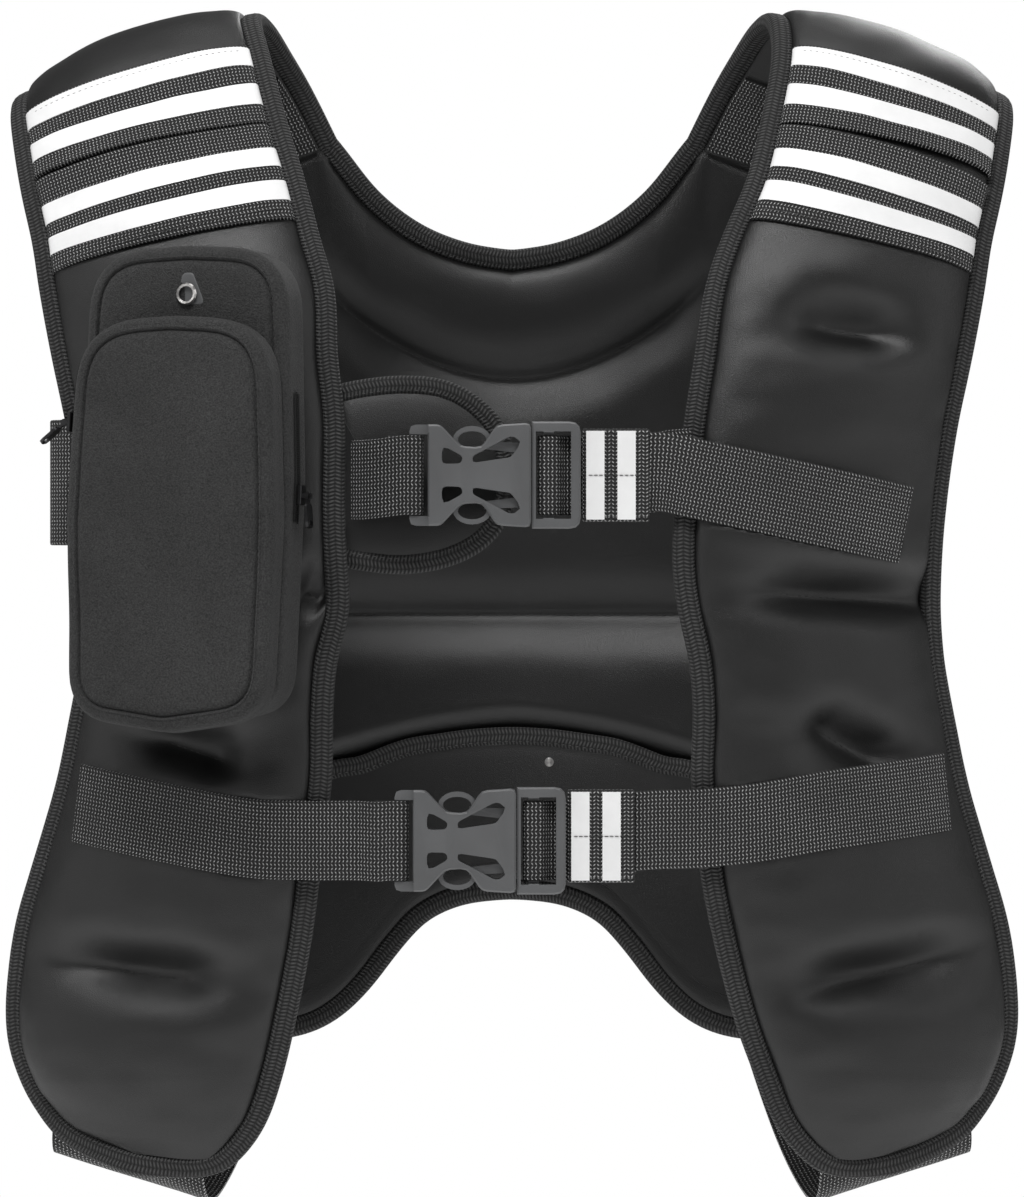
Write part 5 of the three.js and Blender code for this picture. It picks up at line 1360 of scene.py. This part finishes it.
for side in SIDES:
    for band, sewn, step in (("upper", band_lines["top"], -0.12), ("lower", band_lines["foot"], 0.12)):
        path = [(sewn[0] + step, 0.03), (sewn[1] + step, 0.97)]
        panel_stitches(f"stitches_band_{side}_{band}", side, 1, 2.0, path)
    panel_stitches(f"stitches_patch_{side}", side, -1, 1.8, [(22.5, 0.06), (22.5, 0.94)])


def strap_stitches(name, line, tilt, start, stop, inset_by=3.0):
    """A box of stitches on a strap between two shares of its length."""
    line = np.asarray(line, float)
    tilt = unit(np.broadcast_to(np.asarray(tilt, float), line.shape))
    run = unit(np.gradient(line, axis=0))
    n = unit(np.cross(run, tilt))
    if n[len(n) // 2] @ np.array([0, -1.0, 0]) < 0:
        n = -n
    w = strap_width / 2 - inset_by
    a, b = int(start * (len(line) - 1)), int(stop * (len(line) - 1))
    part = slice(a, b + 1)
    over = line[part] + n[part] * (web_thick / 2)
    ring = np.vstack([over + tilt[part] * w, (over - tilt[part] * w)[::-1], over[:1] + tilt[a:a + 1] * w])
    norms = np.vstack([n[part], n[part][::-1], n[a:a + 1]])
    obj = stitch_row(name, ring, norms, pitch=2.7, length=1.9)
    threads[name] = obj


strap_stitches("stitches_tail_end", upper_right, tilt, 0.012, 0.07)
for name, place, rise in (("upper", upper_buckle, 0.0), ("lower", lower_buckle, 2.0)):
    xs = np.linspace(place[0] + 24.5, place[0] + 52, 30)
    y = place[1] + front_layer - web_thick / 2 - loop_gap - 0.6 - keeper_wall / 2 - 0.5
    line = np.stack([xs, np.full(30, y), np.full(30, place[2] + rise)], axis=1)
    obj = stitch_row(f"stitches_keeper_{name}", line, np.tile([0, -1.0, 0], (30, 1)),
                     pitch=2.3, length=1.9, radius=0.2)
    threads[f"seam_keeper_{name}"] = obj
print("rows so far:", len(threads))

# %% [markdown]
# The seams of the back and the tucks of the panels lie at the bottom of their valleys. A
# row of points in the front view is laid on the padding, and the stitches follow it.

# %% Seams of the back and tucks
tree = tree_of(back_inner)
seam_xs = {"seam_one": np.linspace(-84, 84, 160), "seam_two": np.linspace(-80, 82, 160)}
for name, xs in seam_xs.items():
    zs = seam_height(xs) if name == "seam_one" else np.full_like(xs, seam_two * drop)
    line = face_line(tree, xs, zs)
    obj = stitch_row(f"stitches_back_{name}", line, np.tile([0, -1.0, 0], (len(line), 1)), pitch=3.2)
    threads[name] = obj
for side in SIDES:
    tree = tree_of(panel_outer[side])
    for n, (x0, z0, x1, z1) in enumerate(stitched[side]):
        k = np.linspace(0, 1, 40)
        line = face_line(tree, x0 + (x1 - x0) * k, z0 + (z1 - z0) * k)
        if len(line) > 4:
            obj = stitch_row(f"stitches_tuck_{side}_{n + 1}", line, np.tile([0, -1.0, 0], (len(line), 1)),
                             pitch=3.4, radius=0.24, lift=0.05)
            threads[f"tuck_{side}_{n}"] = obj
print("rows of stitches:", len(threads))

# %% [markdown]
# ## Shared effects as node groups
# Grain and woven ribs are used by several finishes, so each is a node group that is built
# once. Grain reads the place in the object, ribs read the flat map in metres.

# %% Node groups


def new_group(name, inputs, outputs):
    group = bpy.data.node_groups.new(name, "ShaderNodeTree")
    for label, kind, value in inputs:
        socket = group.interface.new_socket(name=label, in_out="INPUT", socket_type=kind)
        if value is not None:
            socket.default_value = value
    for label, kind in outputs:
        group.interface.new_socket(name=label, in_out="OUTPUT", socket_type=kind)
    start = group.nodes.new("NodeGroupInput")
    stop = group.nodes.new("NodeGroupOutput")
    return group, start, stop


def math_node(tree, operation, a, b=None, clamp=False):
    node = tree.nodes.new("ShaderNodeMath")
    node.operation = operation
    node.use_clamp = clamp
    for n, value in enumerate((a, b)):
        if value is None:
            continue
        if isinstance(value, (int, float)):
            node.inputs[n].default_value = value
        else:
            tree.links.new(value, node.inputs[n])
    return node.outputs[0]


FLOAT = "NodeSocketFloat"
grain, g_in, g_out = new_group("cloth grain", [("Vector", "NodeSocketVector", None), ("Scale", FLOAT, 900.0),
                                               ("Patch Scale", FLOAT, 14.0)],
                               [("Height", FLOAT), ("Patches", FLOAT)])
fine = grain.nodes.new("ShaderNodeTexNoise")
fine.inputs["Detail"].default_value = 4.0
grain.links.new(g_in.outputs["Vector"], fine.inputs["Vector"])
grain.links.new(g_in.outputs["Scale"], fine.inputs["Scale"])
broad = grain.nodes.new("ShaderNodeTexNoise")
broad.inputs["Detail"].default_value = 5.0
broad.inputs["Roughness"].default_value = 0.6
grain.links.new(g_in.outputs["Vector"], broad.inputs["Vector"])
grain.links.new(g_in.outputs["Patch Scale"], broad.inputs["Scale"])
grain.links.new(fine.outputs["Fac"], g_out.inputs["Height"])
grain.links.new(broad.outputs["Fac"], g_out.inputs["Patches"])

ribs, r_in, r_out = new_group("woven ribs", [("Vector", "NodeSocketVector", None), ("Pitch", FLOAT, 0.0016),
                                             ("Strand", FLOAT, 0.0022), ("Slant", FLOAT, 0.5)],
                              [("Height", FLOAT), ("Knob Highlight", FLOAT)])
part = ribs.nodes.new("ShaderNodeSeparateXYZ")
ribs.links.new(r_in.outputs["Vector"], part.inputs[0])
column = math_node(ribs, "DIVIDE", part.outputs["Y"], r_in.outputs["Strand"])
zig = math_node(ribs, "PINGPONG", column, 1.0)
shifted = math_node(ribs, "MULTIPLY", zig, r_in.outputs["Slant"])
row = math_node(ribs, "DIVIDE", part.outputs["X"], r_in.outputs["Pitch"])
row = math_node(ribs, "ADD", row, shifted)
wave = math_node(ribs, "SINE", math_node(ribs, "MULTIPLY", row, 2 * math.pi))
wave = math_node(ribs, "MULTIPLY", math_node(ribs, "ADD", wave, 1.0), 0.5)
strand = math_node(ribs, "SINE", math_node(ribs, "MULTIPLY", column, math.pi))
strand = math_node(ribs, "ABSOLUTE", strand)
height = math_node(ribs, "MULTIPLY", wave, math_node(ribs, "POWER", strand, 0.5))
ribs.links.new(height, r_out.inputs["Height"])
# The knob output brightens the crests of the ribs as a painted highlight.
ribs.links.new(math_node(ribs, "POWER", height, 3.0), r_out.inputs["Knob Highlight"])
print("groups:", grain.name, ribs.name)

# %% [markdown]
# ## Finishes
# Every fabric has its own base colour, a slow change of shade over the cloth, and a bump at the size of its
# threads. On the ribbed fabrics the colour also carries painted shade in the hollows of the weave and a
# painted highlight on its knobs. Constants are set on the shader itself.

# %% Fabric finishes


def new_material(name, rough, sheen=0.0, specular=0.5, metallic=0.0):
    mat = bpy.data.materials.new(name)
    mat.use_nodes = True
    shader = mat.node_tree.nodes["Principled BSDF"]
    shader.inputs["Roughness"].default_value = rough
    shader.inputs["Specular IOR Level"].default_value = specular
    shader.inputs["Metallic"].default_value = metallic
    if sheen:
        shader.inputs["Sheen Weight"].default_value = sheen
        shader.inputs["Sheen Roughness"].default_value = 0.45
    return mat, shader


def ramp(tree, value, stops):
    node = tree.nodes.new("ShaderNodeValToRGB")
    elements = node.color_ramp.elements
    while len(elements) < len(stops):
        elements.new(0.5)
    for element, (at, level) in zip(elements, stops):
        element.position = at
        shade = level if isinstance(level, tuple) else (level, level, level)
        element.color = (*shade, 1)
    tree.links.new(value, node.inputs[0])
    return node.outputs["Color"]


def group_node(tree, group, vector, **values):
    node = tree.nodes.new("ShaderNodeGroup")
    node.node_tree = group
    tree.links.new(vector, node.inputs["Vector"])
    for label, value in values.items():
        node.inputs[label.replace("_", " ")].default_value = value
    return node


def bump(tree, shader, height, distance, strength=1.0):
    node = tree.nodes.new("ShaderNodeBump")
    node.inputs["Distance"].default_value = distance
    node.inputs["Strength"].default_value = strength
    tree.links.new(height, node.inputs["Height"])
    tree.links.new(node.outputs["Normal"], shader.inputs["Normal"])


def place_vector(tree):
    return tree.nodes.new("ShaderNodeTexCoord").outputs["Object"]


def cloth_vector(tree):
    node = tree.nodes.new("ShaderNodeUVMap")
    node.uv_map = "cloth"
    return node.outputs["UV"]


def mix_colour(tree, factor, a, b, mode="MIX"):
    node = tree.nodes.new("ShaderNodeMix")
    node.data_type = "RGBA"
    node.blend_type = mode
    for socket, value in ((node.inputs[0], factor), (node.inputs[6], a), (node.inputs[7], b)):
        if isinstance(value, (int, float, tuple)):
            socket.default_value = value
        else:
            tree.links.new(value, socket)
    return node.outputs[2]


def uneven_gloss(tree, shader, height, swing, base):
    """Roughness that follows the height of the surface."""
    varied = math_node(tree, "MULTIPLY", height, swing)
    tree.links.new(math_node(tree, "ADD", varied, base), shader.inputs["Roughness"])


def patchy(tree, node, dark, light):
    """A slow change of shade over the piece."""
    return ramp(tree, node.outputs["Patches"], ((0.3, dark), (0.7, light)))


def spun(name, rough, sheen, specular, fine_scale, patch_scale, dark, light, depth_m):
    """Tape and thread: a plain shade with a fine grain."""
    mat, shader = new_material(name, rough, sheen, specular)
    tree = mat.node_tree
    node = group_node(tree, grain, place_vector(tree), Scale=fine_scale, Patch_Scale=patch_scale)
    tree.links.new(patchy(tree, node, dark, light), shader.inputs["Base Color"])
    bump(tree, shader, node.outputs["Height"], depth_m)
    return mat


def plain_cloth(name, dark, light, rough, fine_scale, patch_scale, depth_m, sheen, specular, fleck=0.18):
    mat, shader = new_material(name, rough, sheen, specular)
    tree = mat.node_tree
    node = group_node(tree, grain, place_vector(tree), Scale=fine_scale, Patch_Scale=patch_scale)
    shade = patchy(tree, node, dark, light)
    speck = ramp(tree, node.outputs["Height"], ((0.3, 1 - fleck), (0.7, 1 + fleck)))
    tree.links.new(mix_colour(tree, 1.0, shade, speck, "MULTIPLY"), shader.inputs["Base Color"])
    uneven_gloss(tree, shader, node.outputs["Height"], 0.16, rough - 0.08)
    bump(tree, shader, node.outputs["Height"], depth_m)
    return mat


def ribbed_cloth(name, dark, light, rough, pitch, strand, slant, depth_m, sheen, dot):
    mat, shader = new_material(name, rough, sheen, 0.35)
    tree = mat.node_tree
    node = group_node(tree, ribs, cloth_vector(tree), Pitch=pitch, Strand=strand, Slant=slant)
    soft = group_node(tree, grain, place_vector(tree), Scale=2400.0, Patch_Scale=30.0)
    # Painted shade and highlight: the colour follows the rib height, dark in the hollows between strands and
    # light on their crests, and the knob dots add a further painted highlight.
    shade = ramp(tree, node.outputs["Height"], ((0.0, dark), (1.0, light)))
    knob_highlight = ramp(tree, node.outputs["Knob Highlight"], ((0.4, 0.0), (0.95, dot)))
    lit = mix_colour(tree, 1.0, shade, knob_highlight, "ADD")
    patches = ramp(tree, soft.outputs["Patches"], ((0.3, 0.8), (0.7, 1.15)))
    tree.links.new(mix_colour(tree, 1.0, lit, patches, "MULTIPLY"), shader.inputs["Base Color"])
    fuzz = math_node(tree, "MULTIPLY", soft.outputs["Height"], 0.35)
    both = math_node(tree, "ADD", node.outputs["Height"], fuzz)
    uneven_gloss(tree, shader, soft.outputs["Height"], 0.2, rough - 0.1)
    bump(tree, shader, both, depth_m)
    return mat


neoprene = plain_cloth("neoprene", 0.0045, 0.0075, 0.38, 2600.0, 9.0, 0.0002, 0.0, 0.5)
pouch_cloth = plain_cloth("brushed pouch cloth", 0.026, 0.037, 0.85, 1300.0, 16.0, 0.0007, 0.06, 0.2, 0.5)
binding_cloth = ribbed_cloth("knitted binding", 0.004, 0.06, 0.8, 0.0017, 0.0031, 0.45, 0.0005, 0.03, 0.01)
web_cloth = ribbed_cloth("webbing", 0.002, 0.06, 0.6, 0.0017, 0.0017, 0.5, 0.001, 0.03, 0.5)
zip_cloth = ribbed_cloth("zip tape", 0.004, 0.008, 0.8, 0.0012, 0.0008, 0.5, 0.0002, 0.02, 0.004)

tape_cloth = spun("reflective tape", 0.42, 0.0, 0.5, 3200.0, 40.0, 0.74, 0.84, 0.00004)
thread_cloth = spun("thread", 0.7, 0.1, 0.4, 4000.0, 60.0, 0.04, 0.07, 0.0001)
dark_thread = spun("dark thread", 0.7, 0.1, 0.4, 4000.0, 60.0, 0.018, 0.035, 0.0001)

# %% Moulded plastic and metal
plastic, shader = new_material("moulded plastic", 0.42, 0.0, 0.5)
tree = plastic.node_tree
node = group_node(tree, grain, place_vector(tree), Scale=1800.0, Patch_Scale=25.0)
shade = patchy(tree, node, (0.07, 0.071, 0.073), (0.088, 0.09, 0.093))
# Painted highlight: the sharpest edges of the plastic are made lighter by their pointiness.
edge = tree.nodes.new("ShaderNodeNewGeometry").outputs["Pointiness"]
edge_highlight_paint = ramp(tree, edge, ((0.5, 0.0), (0.62, 0.03)))
tree.links.new(mix_colour(tree, 1.0, shade, edge_highlight_paint, "ADD"), shader.inputs["Base Color"])
uneven_gloss(tree, shader, node.outputs["Height"], 0.15, 0.28)
bump(tree, shader, node.outputs["Height"], 0.00006)


def plated(name, dark, light):
    mat, shader = new_material(name, 0.3, 0.0, 0.5, 1.0)
    tree = mat.node_tree
    node = group_node(tree, grain, place_vector(tree), Scale=1400.0, Patch_Scale=90.0)
    tree.links.new(patchy(tree, node, dark, light), shader.inputs["Base Color"])
    uneven_gloss(tree, shader, node.outputs["Height"], 0.2, 0.25)
    bump(tree, shader, node.outputs["Height"], 0.00003)
    return mat


metal = plated("nickel plate", (0.42, 0.41, 0.4), (0.55, 0.54, 0.53))
dark_metal = plated("dark zip metal", (0.05, 0.05, 0.052), (0.09, 0.09, 0.092))


def dress(obj, mat):
    obj.data.materials.clear()
    obj.data.materials.append(mat)


for obj in pads.values():
    dress(obj, neoprene)
dress(flap, neoprene)
for obj in bindings.values():
    dress(obj, binding_cloth)
for obj in beads.values():
    dress(obj, thread_cloth)
for obj in [*straps.values(), *bands.values()]:
    dress(obj, web_cloth)
for obj in (pouch_main, pouch_front):
    dress(obj, pouch_cloth)
dress(patch_obj, plastic)
for name, obj in threads.items():
    dress(obj, dark_thread if "tuck" in name or "seam" in name or "pouch" in name else thread_cloth)
for tape_piece, teeth in zip_rows.values():
    dress(tape_piece, zip_cloth)
    dress(teeth, zip_cloth)
for obj in bpy.context.scene.objects:
    if obj.name.startswith(("reflective_stripe", "keeper_stripe")) and obj.name.endswith("_tape"):
        dress(obj, tape_cloth)
for name, obj in frame["nodes"].items():
    if name.startswith("buckle_") and "pad" not in name:
        dress_with = plastic
    elif name.startswith(("zip_slider", "zip_pull")):
        dress_with = dark_metal
    elif name.startswith(("lumbar_stud", "port_ring")):
        dress_with = metal
    else:
        continue
    for slot in obj.material_slots:
        slot.material = dress_with
print("finishes set")

# %% [markdown]
# ## Floor, light and camera
# The floor is a plain pale disc under the hanging vest, and the world behind it is white
# where the camera looks at it, and dimmer where it lights the cloth, so that black cloth
# stays black. There is one broad lamp from above in front, two weak ones at the sides, one
# overhead and one behind. The camera stands three metres off, level with the middle of
# the vest, with a long lens as in the photograph.

# %% Stage
floor_z = -0.95
floor_radius = 4.4
sides = 96
verts = [(0.0, 0.0, floor_z * 1000)]
for j in range(sides):
    a = 2 * math.pi * j / sides
    verts.append((floor_radius * math.cos(a) * 1000, floor_radius * math.sin(a) * 1000, floor_z * 1000))
faces = [(0, 1 + j, 1 + (j + 1) % sides) for j in range(sides)]
stage = make_mesh("studio_floor", verts, faces, crease=60)
paper, shader = new_material("pale paper", 0.9, 0.0, 0.2)
tree = paper.node_tree
node = group_node(tree, grain, place_vector(tree), Scale=300.0, Patch_Scale=1.0)
tree.links.new(patchy(tree, node, 0.9, 0.93), shader.inputs["Base Color"])
shader.inputs["Emission Color"].default_value = (1, 1, 1, 1)
paper_glow = 0.42
shader.inputs["Emission Strength"].default_value = paper_glow
dress(stage, paper)

world = bpy.data.worlds.new("studio")
bpy.context.scene.world = world
world.use_nodes = True
world.node_tree.nodes["Background"].inputs["Color"].default_value = (1, 1, 1, 1)
light_level = 0.2  # how bright the white world is as a lamp
tree = world.node_tree
seen = tree.nodes.new("ShaderNodeLightPath").outputs["Is Camera Ray"]
level = math_node(tree, "ADD", math_node(tree, "MULTIPLY", seen, 1.0 - light_level), light_level)
tree.links.new(level, tree.nodes["Background"].inputs["Strength"])


def lamp(name, place, target, size, power):
    data = bpy.data.lights.new(name, "AREA")
    data.shape = "RECTANGLE"
    data.size = size[0]
    data.size_y = size[1]
    data.energy = power
    obj = bpy.data.objects.new(name, data)
    obj.location = place
    obj.rotation_euler = (Vector(target) - Vector(place)).to_track_quat("-Z", "Y").to_euler()
    bpy.context.scene.collection.objects.link(obj)


lamp("key", (-0.4, -1.3, 1.7), (0, 0, -0.2), (1.1, 0.6), 40)
lamp("fill", (1.9, -0.9, 0.5), (0, 0, -0.25), (0.6, 1.2), 8)
lamp("side", (-2.0, -0.8, 0.4), (0, 0, -0.25), (0.6, 1.2), 7)
lamp("top", (0.0, -0.2, 1.9), (0, 0, -0.2), (1.2, 0.6), 10)
lamp("back", (0.9, 1.9, 1.3), (0, 0, -0.25), (1.0, 0.8), 18)

camera_data = bpy.data.cameras.new("photo camera")
camera_data.sensor_fit = "HORIZONTAL"
sensor = 36.0
camera_data.sensor_width = sensor
distance = 2.995
front_plane = -0.105
photo_pixels = 1024
pixel_size = 0.00045  # metres for each pixel of the photo, in the plane of the front
frame_width = photo_pixels * pixel_size
camera_data.lens = sensor * distance / frame_width
camera = bpy.data.objects.new("photo camera", camera_data)
camera.location = (0.0, front_plane - distance, -0.2423)
camera.rotation_euler = (math.pi / 2, 0, 0)
bpy.context.scene.collection.objects.link(camera)
bpy.context.scene.camera = camera
bpy.context.scene.view_settings.view_transform = "Standard"
print("camera lens:", round(camera_data.lens, 1), "mm")
